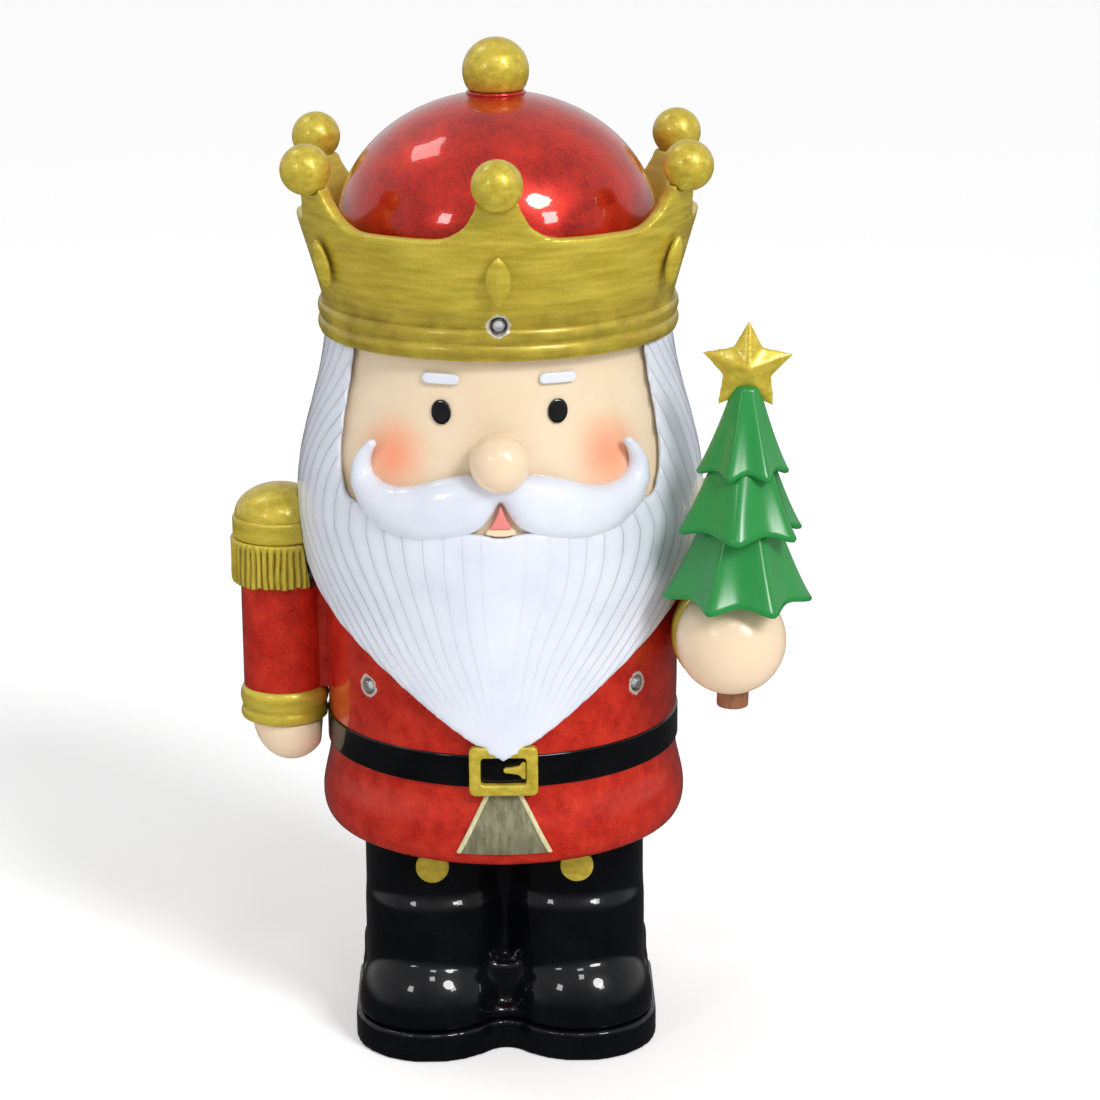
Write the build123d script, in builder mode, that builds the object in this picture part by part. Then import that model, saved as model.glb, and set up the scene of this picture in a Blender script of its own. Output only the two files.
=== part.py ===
"""A painted, hollow-cast nutcracker king with three small lamps and a battery base.

The figure stands on the plane z = 0 with its body's vertical axis at x = y = 0.  It faces -Y, and the arm
that holds the tree is on the +X side.  Sizes are in millimetres.
"""

import math
import os

from build123d import *

# ---- Driving sizes ----------------------------------------------------------------------------------------
BODY_R = 44.4  # radius of the coat under the belt
WALL = 3.0  # wall of the hollow castings
GLUE_GAP = 0.1  # play left for glue between two castings
RUN_GAP = 0.4  # play round the pieces that move

# Heights, stacked from the ground up
SOLE_H = 7.8  # thickness of the boots' soles
BOOT_H = 51.2  # boots above their soles
SKIRT_H = 18.9  # coat skirt between boots and belt
BELT_W = 8.2  # width of the belt
TORSO_H = 40.9  # coat between belt and head
HEAD_H = 57.3  # head between coat and crown
CROWN_WALL_H = 39.7  # crown wall up to the tips of its points
CAP_SIDE_H = 24.7  # upright side of the cap, hidden in the crown
CAP_DOME_H = 33.0  # dome of the cap above that

BOOT_TOP = SOLE_H + BOOT_H
BELT_LOW = BOOT_TOP + SKIRT_H
BELT_TOP = BELT_LOW + BELT_W
NECK_Z = BELT_TOP + TORSO_H
CROWN_Z = NECK_Z + HEAD_H
CAP_SPRING_Z = CROWN_Z + CAP_SIDE_H
CAP_TOP = CAP_SPRING_Z + CAP_DOME_H

# ---- Boots and soles --------------------------------------------------------------------------------------
FOOT_X = 19.2  # each foot's centre line from the middle
FOOT_MERGE = 0.3  # how far each foot reaches over the middle
FOOT_R = FOOT_X + FOOT_MERGE  # half width of a sole
FOOT_FRONT = -14.1  # centre of the sole's round front
FOOT_BACK = 11.5  # centre of its round back
FOOT_NOTCH = 6.0  # rounding of the groove between the soles
WELT = 0.9  # how far the sole stands out past the boot
SHAFT_X = 17.7
SHAFT_R = SHAFT_X + FOOT_MERGE
SHAFT_REACH = 7.0  # centres of the shaft's round front and back
SHAFT_NOTCH = 3.5
FEET_WEB_W = 12.0  # web between the feet, round the battery box
TOE_TOP = 28.4  # top of the toe cap
TOE_SIDE = 11.0  # height at which the toe cap starts to round over
INSTEP_TOP = 45.0
INSTEP_Y = -8.6
INSTEP_R = FOOT_R - 1.3
INSTEP_ROUND = 7.0
HEEL_TOP = 24.0
HEEL_R = FOOT_R - 1.3
HEEL_ROUND = 6.0
BUTTON_R = 4.2
BUTTON_T = 1.5
BUTTON_X = SHAFT_X + 0.5
BUTTON_Z = BOOT_TOP - 8.8

# ---- Base, battery box and switch -------------------------------------------------------------------------
SOLE_WALL = 3.4  # sole left round the base plate
LEDGE_W = 3.0  # ledge inside the sole that the plate seats on
PLATE_LOW = 1.2  # the plate is recessed, so that the soles meet the ground
PLATE_T = 2.8
PLATE_TOP = PLATE_LOW + PLATE_T
SCREW_R = 1.25
SCREW_HEAD_R = 2.5
SCREW_HEAD_H = 1.4
SCREW_SINK = 1.7  # counterbore of the plate
BOSS_R = 3.6
SCREW_X = FOOT_X + FOOT_R - SOLE_WALL - LEDGE_W - 1.5
SCREW_Y = 12.0
SCREW_LENGTH = 4.2  # thread above the head

BATTERY_R = 5.15
BATTERY_GAP = 0.3  # between two batteries
BATTERY_PITCH = 2 * BATTERY_R + BATTERY_GAP
BATTERY_L = 43.3  # body without its nub
NUB_R = 1.9
NUB_L = 1.1
SPRING_L = 6.5  # spring as it sits, squeezed
SPRING_R = 3.2
SPRING_WIRE_R = 0.35
SPRING_TURNS = 4
CONTACT_T = 0.4
TRAY_WALL = 1.3
TRAY_ROOM_X = BATTERY_L + NUB_L + SPRING_L + 2 * CONTACT_T  # inside length
TRAY_ROOM_Y = 3 * BATTERY_PITCH
TRAY_SPARE_Z = 2.3  # room over and under the batteries, with the door's
TRAY_ROOM_Z = 2 * BATTERY_R + TRAY_SPARE_Z
TRAY_X = TRAY_ROOM_X + 2 * TRAY_WALL
TRAY_Y = TRAY_ROOM_Y + 2 * TRAY_WALL
TRAY_TOP = PLATE_TOP + TRAY_ROOM_Z + TRAY_WALL
BATTERY_Z = PLATE_TOP + TRAY_ROOM_Z - BATTERY_R - 0.1
CAVITY_PLAY = 0.8  # room round the tray inside the boots

DOOR_T = 1.6
DOOR_X = TRAY_ROOM_X - 3.0
DOOR_FRONT = -(TRAY_ROOM_Y / 2 - 0.8)
PIN_R = 0.7
BARREL_R = 1.4
PIN_Y = TRAY_ROOM_Y / 2 - 1.0
PIN_Z = PLATE_LOW + BARREL_R
PIN_GRIP = 2.2  # how far the hinge pin goes into the plate at each end
PIN_RUN = 0.06  # running clearance of the door on its pin
NAIL_R = 4.0  # finger-nail notch in the door's front edge

SWITCH_X = 20.0
SWITCH_BODY_X = 9.8
SWITCH_BODY_Y = 4.4
SWITCH_GAP = 1.9  # between switch and tray
SWITCH_Y = TRAY_Y / 2 + SWITCH_GAP + SWITCH_BODY_Y / 2
SWITCH_BODY_Z = 3.4
SWITCH_TRAVEL = 3.0
SLIDER_X = 3.0
SLIDER_Y = 2.0
SLIDER_Z = 1.4
STEM_X = 1.6
STEM_Y = 1.4

# ---- Coat, belt and buckle --------------------------------------------------------------------------------
COAT_R = BODY_R
COAT_CHEST_R = BODY_R - 0.6  # radius at the neck end
BELT_T = 1.6
BELT_SEAT = 1.2  # depth of the groove that the belt lies in
BELT_R = BODY_R - BELT_SEAT + BELT_T
SKIRT_R = BODY_R + 1.9
SKIRT_LOW = BOOT_TOP - 2.0
SKIRT_BULGE_Z = BOOT_TOP + 5.0
SKIRT_FLOOR = 3.0
WIRE_WAY_R = 12.0  # opening between skirt and boots for the wires
BUCKLE_W = 16.8
BUCKLE_H = BELT_W + 4.2
BUCKLE_BAR = 2.8
BUCKLE_T = 2.4
BUCKLE_Z = BELT_LOW + BELT_W / 2 + 0.8
PRONG_L = 7.0
PRONG_H = 2.2
PLACKET_TOP_W = 9.0
PLACKET_LOW_W = 24.0
PLACKET_LOW_Z = BOOT_TOP + 2.3
PLACKET_TOP_Z = BELT_LOW - 1.4
PLACKET_T = 0.7
TRIM_W = 1.3
TRIM_T = 1.2

# ---- Head, hair and face ----------------------------------------------------------------------------------
HAIR_R = BODY_R + 6.7  # widest part of the hair
HAIR_WIDE_Z = NECK_Z + 12.2
HAIR_TOP_R = BODY_R - 1.2
HAIR_T = 2.4  # hair over the head
HAIR_BACK_Z = NECK_Z - 9.0
BEARD_R = BODY_R + 3.4  # beard over the belt
BEARD_TIP_Z = BELT_TOP - 1.1
CHIN_Z = NECK_Z + 16.2  # lowest skin in the face opening
CHEEK_Z = NECK_Z + 32.0
CHEEK_X = BODY_R - 6.1
FACE_TOP_X = BODY_R - 9.6
HEAD_TOP_HOLE = 25.0
NOSE_R = 7.3
NOSE_Z = NECK_Z + 34.4
NOSE_Y = BODY_R + 6.2
EYE_X = 13.9
EYE_Z = CROWN_Z - 12.7
EYE_W = 4.9
EYE_H = 5.9
EYE_T = 0.8
BROW_X = 14.0
BROW_Z = CROWN_Z - 4.9
BROW_W = 9.0
BROW_H = 2.6
BROW_T = 1.2
MOUSTACHE_R = HAIR_R + 2.2
MOUSTACHE_MID_Z = NECK_Z + 24.2
MOUSTACHE_X = BODY_R - 8.4
MOUTH_W = 6.4
MOUTH_LOW_Z = NECK_Z + 18.2
MOUTH_HIGH_Z = NECK_Z + 23.6
MOUTH_T = 2.8
LIP_W = 9.6
LIP_H = 4.4
LIP_T = 2.4

# ---- Crown, cap and finial --------------------------------------------------------------------------------
POINTS = 6
CAP_R = BODY_R - 4.8
CROWN_GAP = 0.3  # between cap and crown
CROWN_LOW_R = BODY_R - 0.8  # crown wall behind its band
CROWN_MID_R = BODY_R + 2.9
CROWN_TIP_R = BODY_R + 8.4
CROWN_TIP_T = 5.0  # thickness of the wall at the points
CROWN_MID_T = 3.9
BAND_H = 7.8  # two round beads
BAND_T = 1.1
VALLEY_Z = CROWN_Z + 29.6
VALLEY_W = 43.0
VALLEY_ROUND = 12.5
BALL_R = 6.15
BALL_RING_R = BODY_R + 8.2
BALL_Z = CROWN_Z + 43.3
JEWEL_LOW_Z = CROWN_Z + 13.9
JEWEL_H = 12.2
JEWEL_W = 6.0
JEWEL_T = 1.5
COLLAR_R = 7.3
COLLAR_H = 4.6
FINIAL_R = 8.2
FINIAL_NECK_R = 6.7
FINIAL_Z = CAP_TOP + 5.1

# ---- Arms -------------------------------------------------------------------------------------------------
SLEEVE_R = 10.3
ARM_GAP = 1.1  # between sleeve and coat
ARM_X = BODY_R + ARM_GAP + SLEEVE_R
SLEEVE_LOW_Z = BELT_TOP + 5.4
BAND_LOW_Z = NECK_Z + 3.6
EPAULETTE_BAND_H = 5.6
EPAULETTE_R = SLEEVE_R + 1.7
DOME_H = 7.8
FRINGE_R = SLEEVE_R + 2.0
FRINGE_H = 12.0
FRINGE_STRANDS = 40
STRAND_R = 0.45
CUFF_R = SLEEVE_R + 1.0
CUFF_H = 8.8
HAND_X = ARM_X - 1.5
HAND_W = SLEEVE_R - 0.5
HAND_LOW_Z = BELT_LOW - 6.9
WEB_W = 9.0  # web between an arm and the coat

ELBOW_Z = NECK_Z - 18.5
FIST_X = ARM_X - 0.2
FIST_Y = 4.4 - BODY_R
FIST_Z = NECK_Z - 13.2
FIST_R = 13.4
WRIST_R = 9.0
RAISED_CUFF_Y = -20.5
FOREARM_END_R = SLEEVE_R + 1.9
RAISED_CUFF_R = FOREARM_END_R + 1.5
RAISED_CUFF_TOP = NECK_Z - 2.9  # under the tree
RAISED_CUFF_Z = RAISED_CUFF_TOP - RAISED_CUFF_R
RAISED_CUFF_H = 7.5

# ---- Tree -------------------------------------------------------------------------------------------------
TRUNK_R = 3.9
TRUNK_X = ARM_X + 0.2
TRUNK_LOW_Z = NECK_Z - 30.0
TREE_LEAN = 2.0  # degrees, outward
TREE_LOBES = 7
TIER_DEPTH = 0.15  # depth of the folds as a share of a tier's radius
LOWER_TIER = (28.4, 22.5, 18.6, 8.0)  # low edge, height, low radius, top radius
MIDDLE_TIER = (45.4, 19.5, 15.4, 6.2)
UPPER_TIER = (59.9, 18.5, 10.8, 3.0)
STAR_H = 84.4  # centre above the foot of the trunk
STAR_R = 11.9
STAR_IN_R = 6.3
STAR_T = 3.6  # each face's rise

# ---- Lamps ------------------------------------------------------------------------------------------------
LED_R = 1.5
LED_FLANGE_R = LED_R + 0.4
LED_FLANGE_T = 1.0
LED_L = 5.3
LED_PROUD = 1.2
LED_HOLE_R = LED_FLANGE_R + 0.3
COAT_LED_ANGLE = 48.0
COAT_LED_Z = BELT_TOP + 13.6
CROWN_LED_Z = CROWN_Z + 8.4
WIRE_R = 0.8
WIRE_X = 9.0  # the wires rise through the +X leg
WIRE_PITCH = 4.0
WIRE_BEND = 6.0


ROUND = 4 * (math.sqrt(2) - 1) / 3  # handle length of a quarter ellipse drawn as a Bezier curve


def upright(x=0.0, y=0.0):
    """Sketch plane through the vertical line at (x, y): local x runs outward, local y runs up."""
    return Plane(origin=(x, y, 0), x_dir=(1, 0, 0), z_dir=(0, -1, 0))


def radial(angle, radius, height):
    """Plane facing outward at an angle from the front, turning towards +X."""
    turn = math.radians(angle)
    out = (math.sin(turn), -math.cos(turn), 0)
    along = (math.cos(turn), math.sin(turn), 0)
    return Plane(origin=(radius * out[0], radius * out[1], height), x_dir=along, z_dir=out)


def vertical_axis(x=0.0, y=0.0):
    """Upright axis through (x, y)."""
    return Axis((x, y, 0), (0, 0, 1))


def around(centre, radius, degrees):
    """Point of a circle at an angle from +X."""
    turn = math.radians(degrees)
    return (centre[0] + radius * math.cos(turn), centre[1] + radius * math.sin(turn))


def foot_end(centre_x, centre_y, radius, notch, way):
    """Round end of one foot and half of the rounded groove beside it; way is -1 in front and 1 behind."""
    reach = math.sqrt((radius + notch) ** 2 - centre_x**2)
    lean = math.degrees(math.atan2(reach, centre_x))
    groove = (0, centre_y + way * reach)
    foot = (centre_x, centre_y)
    meet = around(foot, radius, way * (180 - lean))
    ThreePointArc((0, groove[1] - way * notch), around(groove, notch, -way * (lean + 90) / 2), meet)
    ThreePointArc(meet, around(foot, radius, way * (180 - lean) / 2), (centre_x + radius, centre_y))


def feet_plan(height, centre_x, radius, front, back, notch, inset=0.0):
    """Plan of both legs side by side less an inset, with the groove between them rounded."""
    with BuildSketch(Plane.XY.offset(height)) as plan:
        with BuildLine():
            foot_end(centre_x, front, radius - inset, notch + inset, -1)
            foot_end(centre_x, back, radius - inset, notch + inset, 1)
            Line((centre_x + radius - inset, front), (centre_x + radius - inset, back))
            mirror(about=Plane.YZ)
        make_face()
    return plan.sketch


def sole_plan(height, inset=0.0):
    """Plan of the soles less an inset."""
    return feet_plan(height, FOOT_X, FOOT_R, FOOT_FRONT, FOOT_BACK, FOOT_NOTCH, inset)


def quarter_round(side, pole):
    """Quarter of an ellipse from its side, where it is upright, to its pole on the axis, where it is level."""
    rise = ROUND * (pole[1] - side[1])
    return Bezier(side, (side[0], side[1] + rise), (ROUND * side[0], pole[1]), pole)


def turned_post(x, y, radius, low, side, top, mode=Mode.ADD):
    """Upright post with an elliptical head, turned about its own axis."""
    with BuildSketch(upright(x, y)) as section:
        with BuildLine():
            if side > low:
                Polyline((0, low), (radius, low), (radius, side))
            else:
                Line((0, low), (radius, low))
            quarter_round((radius, side), (0, top))
            Line((0, top), (0, low))
        make_face()
    revolve(section.sketch, axis=vertical_axis(x, y), mode=mode)


# ===========================================================================================================
# Boots, soles and their buttons
# ===========================================================================================================
FEET = (-1, 1)

with BuildPart() as boots_body:
    extrude(feet_plan(SOLE_H, SHAFT_X, SHAFT_R, -SHAFT_REACH, SHAFT_REACH, SHAFT_NOTCH), amount=BOOT_H)
    extrude(sole_plan(SOLE_H, WELT), amount=TOE_SIDE - SOLE_H)
    for side in FEET:
        turned_post(side * FOOT_X, FOOT_FRONT, FOOT_R - WELT, SOLE_H, TOE_SIDE, TOE_TOP)
        turned_post(side * SHAFT_X, INSTEP_Y, INSTEP_R, SOLE_H, INSTEP_TOP - INSTEP_ROUND, INSTEP_TOP)
        turned_post(side * FOOT_X, FOOT_BACK, HEEL_R, SOLE_H, HEEL_TOP - HEEL_ROUND, HEEL_TOP)

with BuildPart() as boots:
    add(boots_body.part)
    for side in FEET:
        with BuildSketch(Plane.XY.offset(SOLE_H)):
            with Locations((side * SHAFT_X, 0)):
                SlotCenterToCenter(2 * SHAFT_REACH, 2 * (SHAFT_R - WALL), rotation=90)
        extrude(amount=BOOT_H, mode=Mode.SUBTRACT)
        turned_post(
            side * FOOT_X, FOOT_FRONT, FOOT_R - WELT - WALL, SOLE_H, TOE_SIDE, TOE_TOP - WALL, Mode.SUBTRACT
        )
    with BuildSketch(Plane.XY.offset(SOLE_H)):
        Rectangle(FEET_WEB_W, TRAY_Y + 2 * CAVITY_PLAY + 2 * WALL)
    extrude(amount=TRAY_TOP + CAVITY_PLAY + WALL - SOLE_H)
    with BuildSketch(Plane.XY.offset(SOLE_H)):
        Rectangle(TRAY_X + 2 * CAVITY_PLAY, TRAY_Y + 2 * CAVITY_PLAY)
    extrude(amount=TRAY_TOP + CAVITY_PLAY - SOLE_H, mode=Mode.SUBTRACT)
boots.part.label = "boots"

with BuildPart() as boot_soles:
    extrude(sole_plan(0), amount=SOLE_H)
    extrude(sole_plan(0, SOLE_WALL), amount=PLATE_TOP, mode=Mode.SUBTRACT)
    with BuildSketch(Plane.XY.offset(PLATE_TOP)):
        add(sole_plan(0, SOLE_WALL + LEDGE_W))
        with GridLocations(2 * SCREW_X, 2 * SCREW_Y, 2, 2):
            Circle(BOSS_R, mode=Mode.SUBTRACT)
    extrude(amount=SOLE_H - PLATE_TOP, mode=Mode.SUBTRACT)
    with BuildSketch(Plane.XY.offset(PLATE_TOP)):
        with GridLocations(2 * SCREW_X, 2 * SCREW_Y, 2, 2):
            Circle(SCREW_R)
        Rectangle(TRAY_X + 2 * CAVITY_PLAY, TRAY_Y + 2 * CAVITY_PLAY)
        with Locations((SWITCH_X, SWITCH_Y)):
            Rectangle(SWITCH_BODY_X + 2 * RUN_GAP, SWITCH_BODY_Y + 2 * RUN_GAP)
    extrude(amount=SOLE_H - PLATE_TOP, mode=Mode.SUBTRACT)
boot_soles.part.label = "boot_soles"

with BuildPart() as boot_buttons:
    for side in FEET:
        with BuildSketch(Plane.XZ.offset(SHAFT_REACH + SHAFT_R - 3.0)):
            with Locations((side * BUTTON_X, BUTTON_Z)):
                Circle(BUTTON_R)
        extrude(amount=3.0 + BUTTON_T)
    fillet(boot_buttons.faces().sort_by(Axis.Y)[:2].edges(), 0.6)
    add(boots_body.part, mode=Mode.SUBTRACT)
boot_buttons.part.label = "boot_buttons"

# ===========================================================================================================
# Base plate with its battery box, door and switch
# ===========================================================================================================
DOOR_HOLE_X = DOOR_X + 2 * RUN_GAP
DOOR_HOLE_FRONT = DOOR_FRONT - RUN_GAP
DOOR_HOLE_BACK = PIN_Y + BARREL_R + RUN_GAP + 0.2
SLOT_X = SLIDER_X + SWITCH_TRAVEL + 2 * RUN_GAP
KNOB_X = SWITCH_X - SWITCH_TRAVEL / 2  # where the knob stands when switched off

with BuildPart() as base_plate:
    with BuildSketch(Plane.XY.offset(PLATE_LOW)):
        add(sole_plan(0, SOLE_WALL + GLUE_GAP))
        with Locations((0, (DOOR_HOLE_FRONT + DOOR_HOLE_BACK) / 2)):
            Rectangle(DOOR_HOLE_X, DOOR_HOLE_BACK - DOOR_HOLE_FRONT, mode=Mode.SUBTRACT)
        with Locations((SWITCH_X, SWITCH_Y)):
            Rectangle(STEM_X + SWITCH_TRAVEL + 2 * RUN_GAP, STEM_Y + 2 * RUN_GAP, mode=Mode.SUBTRACT)
    extrude(amount=PLATE_T)
    with BuildSketch(Plane.XY.offset(PLATE_LOW)):
        with GridLocations(2 * SCREW_X, 2 * SCREW_Y, 2, 2):
            Circle(SCREW_HEAD_R + 0.2)
    extrude(amount=SCREW_SINK, mode=Mode.SUBTRACT)
    with BuildSketch(Plane.XY.offset(PLATE_LOW)):
        with GridLocations(2 * SCREW_X, 2 * SCREW_Y, 2, 2):
            Circle(SCREW_R + 0.2)
    extrude(amount=PLATE_T, mode=Mode.SUBTRACT)
    with BuildSketch(Plane.YZ.offset(-DOOR_HOLE_X / 2 - PIN_GRIP)):
        with Locations((PIN_Y, PIN_Z)):
            Circle(PIN_R)
    extrude(amount=DOOR_HOLE_X + 2 * PIN_GRIP, mode=Mode.SUBTRACT)
base_plate.part.label = "base_plate"

with BuildPart() as base_screws:
    with BuildSketch(Plane.XY.offset(PLATE_LOW + SCREW_SINK - SCREW_HEAD_H)):
        with GridLocations(2 * SCREW_X, 2 * SCREW_Y, 2, 2):
            Circle(SCREW_HEAD_R)
    extrude(amount=SCREW_HEAD_H)
    with BuildSketch(Plane.XY.offset(PLATE_LOW + SCREW_SINK)):
        with GridLocations(2 * SCREW_X, 2 * SCREW_Y, 2, 2):
            Circle(SCREW_R)
    extrude(amount=SCREW_LENGTH)
    with BuildSketch(Plane.XY.offset(PLATE_LOW + SCREW_SINK - SCREW_HEAD_H)):
        with GridLocations(2 * SCREW_X, 2 * SCREW_Y, 2, 2):
            Rectangle(2.6, 0.6)
            Rectangle(0.6, 2.6)
    extrude(amount=0.8, mode=Mode.SUBTRACT)
base_screws.part.label = "base_screws"

with BuildPart() as battery_tray:
    with BuildSketch(Plane.XY.offset(PLATE_TOP)):
        RectangleRounded(TRAY_X, TRAY_Y, TRAY_WALL)
    extrude(amount=TRAY_TOP - PLATE_TOP)
    with BuildSketch(Plane.XY.offset(PLATE_TOP)):
        Rectangle(TRAY_ROOM_X, TRAY_ROOM_Y)
    extrude(amount=TRAY_ROOM_Z, mode=Mode.SUBTRACT)
battery_tray.part.label = "battery_tray"

with BuildPart() as battery_door:
    with BuildSketch(Plane.XY.offset(PLATE_LOW)):
        with Locations((0, (DOOR_FRONT + PIN_Y) / 2)):
            Rectangle(DOOR_X, PIN_Y - DOOR_FRONT)
        with Locations((0, DOOR_FRONT)):
            Circle(NAIL_R, mode=Mode.SUBTRACT)
    extrude(amount=DOOR_T)
    with BuildSketch(Plane.YZ.offset(-DOOR_X / 2)):
        with Locations((PIN_Y, PIN_Z)):
            Circle(BARREL_R)
    extrude(amount=DOOR_X)
    with BuildSketch(Plane.YZ.offset(-DOOR_X / 2)):
        with Locations((PIN_Y, PIN_Z)):
            Circle(PIN_R + PIN_RUN)
    extrude(amount=DOOR_X, mode=Mode.SUBTRACT)
battery_door.part.label = "battery_door"

with BuildPart() as door_hinge_pin:
    with BuildSketch(Plane.YZ.offset(-DOOR_HOLE_X / 2 - PIN_GRIP)):
        with Locations((PIN_Y, PIN_Z)):
            Circle(PIN_R)
    extrude(amount=DOOR_HOLE_X + 2 * PIN_GRIP)
door_hinge_pin.part.label = "door_hinge_pin"


def lengthwise(row, start):
    """Plane across battery row (-1, 0 or 1), start mm from the end where its nub points."""
    towards = 1 if row else -1
    end = -towards * TRAY_ROOM_X / 2
    return Plane(
        origin=(end + towards * start, row * BATTERY_PITCH, BATTERY_Z), x_dir=(0, 1, 0), z_dir=(towards, 0, 0)
    )


ROWS = (-1, 0, 1)
batteries = []
for row in ROWS:
    with BuildPart() as battery:
        with BuildSketch(lengthwise(row, CONTACT_T + NUB_L)):
            Circle(BATTERY_R)
        extrude(amount=BATTERY_L)
        fillet(battery.edges().filter_by(GeomType.CIRCLE), 0.5)
        with BuildSketch(lengthwise(row, CONTACT_T)):
            Circle(NUB_R)
        extrude(amount=NUB_L)
    battery.part.label = f"battery_{row + 2}"
    batteries.append(battery)

SPRING_ROOM = SPRING_L - 2 * SPRING_WIRE_R
spring_start = CONTACT_T + NUB_L + BATTERY_L + SPRING_WIRE_R
with BuildPart() as contact_springs:
    for row in ROWS:
        place = lengthwise(row, spring_start)
        with BuildLine():
            coil = Helix(
                SPRING_ROOM / SPRING_TURNS, SPRING_ROOM, SPRING_R, center=place.origin, direction=place.z_dir
            )
        with BuildSketch(Plane(origin=coil @ 0, z_dir=coil % 0)):
            Circle(SPRING_WIRE_R)
        sweep(path=coil, is_frenet=True)
contact_springs.part.label = "contact_springs"

with BuildPart() as contact_plates:
    for end in (-1, 1):
        with BuildSketch(Plane.YZ.offset(end * (TRAY_ROOM_X / 2 - CONTACT_T / 2))):
            with Locations((0, BATTERY_Z)):
                with GridLocations(BATTERY_PITCH, 0, 3, 1):
                    RectangleRounded(BATTERY_PITCH - 1.6, 8.6, 1.0)
        extrude(amount=CONTACT_T / 2, both=True)
contact_plates.part.label = "contact_plates"

with BuildPart() as switch_body:
    with BuildSketch(Plane.XY.offset(PLATE_TOP)):
        with Locations((SWITCH_X, SWITCH_Y)):
            Rectangle(SWITCH_BODY_X, SWITCH_BODY_Y)
    extrude(amount=SWITCH_BODY_Z)
    with BuildSketch(Plane.XY.offset(PLATE_TOP)):
        with Locations((SWITCH_X, SWITCH_Y)):
            Rectangle(SLOT_X, SLIDER_Y + 2 * RUN_GAP)
    extrude(amount=SLIDER_Z + 2 * RUN_GAP, mode=Mode.SUBTRACT)
switch_body.part.label = "switch_body"

with BuildPart() as switch_knob:
    with BuildSketch(Plane.XY.offset(PLATE_TOP + RUN_GAP)):
        with Locations((KNOB_X, SWITCH_Y)):
            Rectangle(SLIDER_X, SLIDER_Y)
    extrude(amount=SLIDER_Z)
    with BuildSketch(Plane.XY.offset(PLATE_LOW + 0.2)):
        with Locations((KNOB_X, SWITCH_Y)):
            Rectangle(STEM_X, STEM_Y)
    extrude(amount=PLATE_T + RUN_GAP - 0.2)
switch_knob.part.label = "switch_knob"

# ===========================================================================================================
# Coat, belt, buckle and placket
# ===========================================================================================================
with BuildPart() as coat_body:
    with BuildSketch(upright()):
        with BuildLine():
            Polyline(
                (0, BELT_LOW),
                (COAT_R - BELT_SEAT, BELT_LOW),
                (COAT_R - BELT_SEAT, BELT_TOP),
                (COAT_R, BELT_TOP),
            )
            ThreePointArc(
                (COAT_R, BELT_TOP), (COAT_R + 0.2, BELT_TOP + TORSO_H / 3), (COAT_CHEST_R, NECK_Z)
            )
            Polyline((COAT_CHEST_R, NECK_Z), (0, NECK_Z), (0, BELT_LOW))
        make_face()
    revolve(axis=Axis.Z)

with BuildPart() as coat_torso:
    add(coat_body.part)
    with BuildSketch(Plane.XY.offset(BELT_LOW)):
        Circle(COAT_R - BELT_SEAT - WALL)
    extrude(amount=NECK_Z - BELT_LOW, mode=Mode.SUBTRACT)
    for side in (-1, 1):
        with BuildSketch(radial(side * COAT_LED_ANGLE, COAT_R - 1.4, COAT_LED_Z)):
            Circle(LED_HOLE_R)
        extrude(amount=4.0, mode=Mode.SUBTRACT)
        with BuildSketch(radial(side * COAT_LED_ANGLE, COAT_R - 2 * WALL - 1.0, COAT_LED_Z)):
            Circle(LED_FLANGE_R + 0.1)
        extrude(amount=2 * WALL + 1.0, mode=Mode.SUBTRACT)
coat_torso.part.label = "coat_torso"

with BuildPart() as skirt_body:
    with BuildSketch(upright()):
        with BuildLine():
            side_line = Spline(
                (BODY_R - 0.2, BELT_LOW),
                (SKIRT_R - 1.0, BELT_LOW - 7.5),
                (SKIRT_R, SKIRT_BULGE_Z),
                (SKIRT_R - 1.6, SKIRT_LOW + 1.4),
                (SKIRT_R - 5.2, SKIRT_LOW),
            )
            Polyline(side_line @ 1, (0, SKIRT_LOW), (0, BELT_LOW), side_line @ 0)
        make_face()
    revolve(axis=Axis.Z)

with BuildPart() as coat_skirt:
    add(skirt_body.part)
    with BuildSketch(Plane.XY.offset(BOOT_TOP + SKIRT_FLOOR)):
        Circle(BODY_R - 0.2 - WALL)
    extrude(amount=BELT_LOW - BOOT_TOP - SKIRT_FLOOR, mode=Mode.SUBTRACT)
    with BuildSketch(Plane.XY.offset(SKIRT_LOW)):
        Circle(SKIRT_R - 7.0)
    extrude(amount=BOOT_TOP - SKIRT_LOW, mode=Mode.SUBTRACT)
    with BuildSketch(Plane.XY.offset(BOOT_TOP)):
        Circle(WIRE_WAY_R)
    extrude(amount=SKIRT_FLOOR, mode=Mode.SUBTRACT)
coat_skirt.part.label = "coat_skirt"

with BuildPart() as belt:
    with BuildSketch(upright()):
        with Locations((BELT_R - BELT_T / 2, BELT_LOW + BELT_W / 2)):
            RectangleRounded(BELT_T, BELT_W, 0.5)
    revolve(axis=Axis.Z)
belt.part.label = "belt"

with BuildPart() as belt_buckle:
    with BuildSketch(Plane.XZ.offset(BELT_R - 2.0)):
        with Locations((0, BUCKLE_Z)):
            RectangleRounded(BUCKLE_W, BUCKLE_H, 1.4)
            RectangleRounded(BUCKLE_W - 2 * BUCKLE_BAR, BUCKLE_H - 2 * BUCKLE_BAR, 0.6, mode=Mode.SUBTRACT)
    extrude(amount=2.0 + BUCKLE_T)
    with BuildSketch(upright()):
        with Locations((BELT_R / 2, BUCKLE_Z)):
            Rectangle(BELT_R, 3 * BUCKLE_H)
    revolve(axis=Axis.Z, mode=Mode.SUBTRACT)
belt_buckle.part.label = "belt_buckle"

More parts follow.
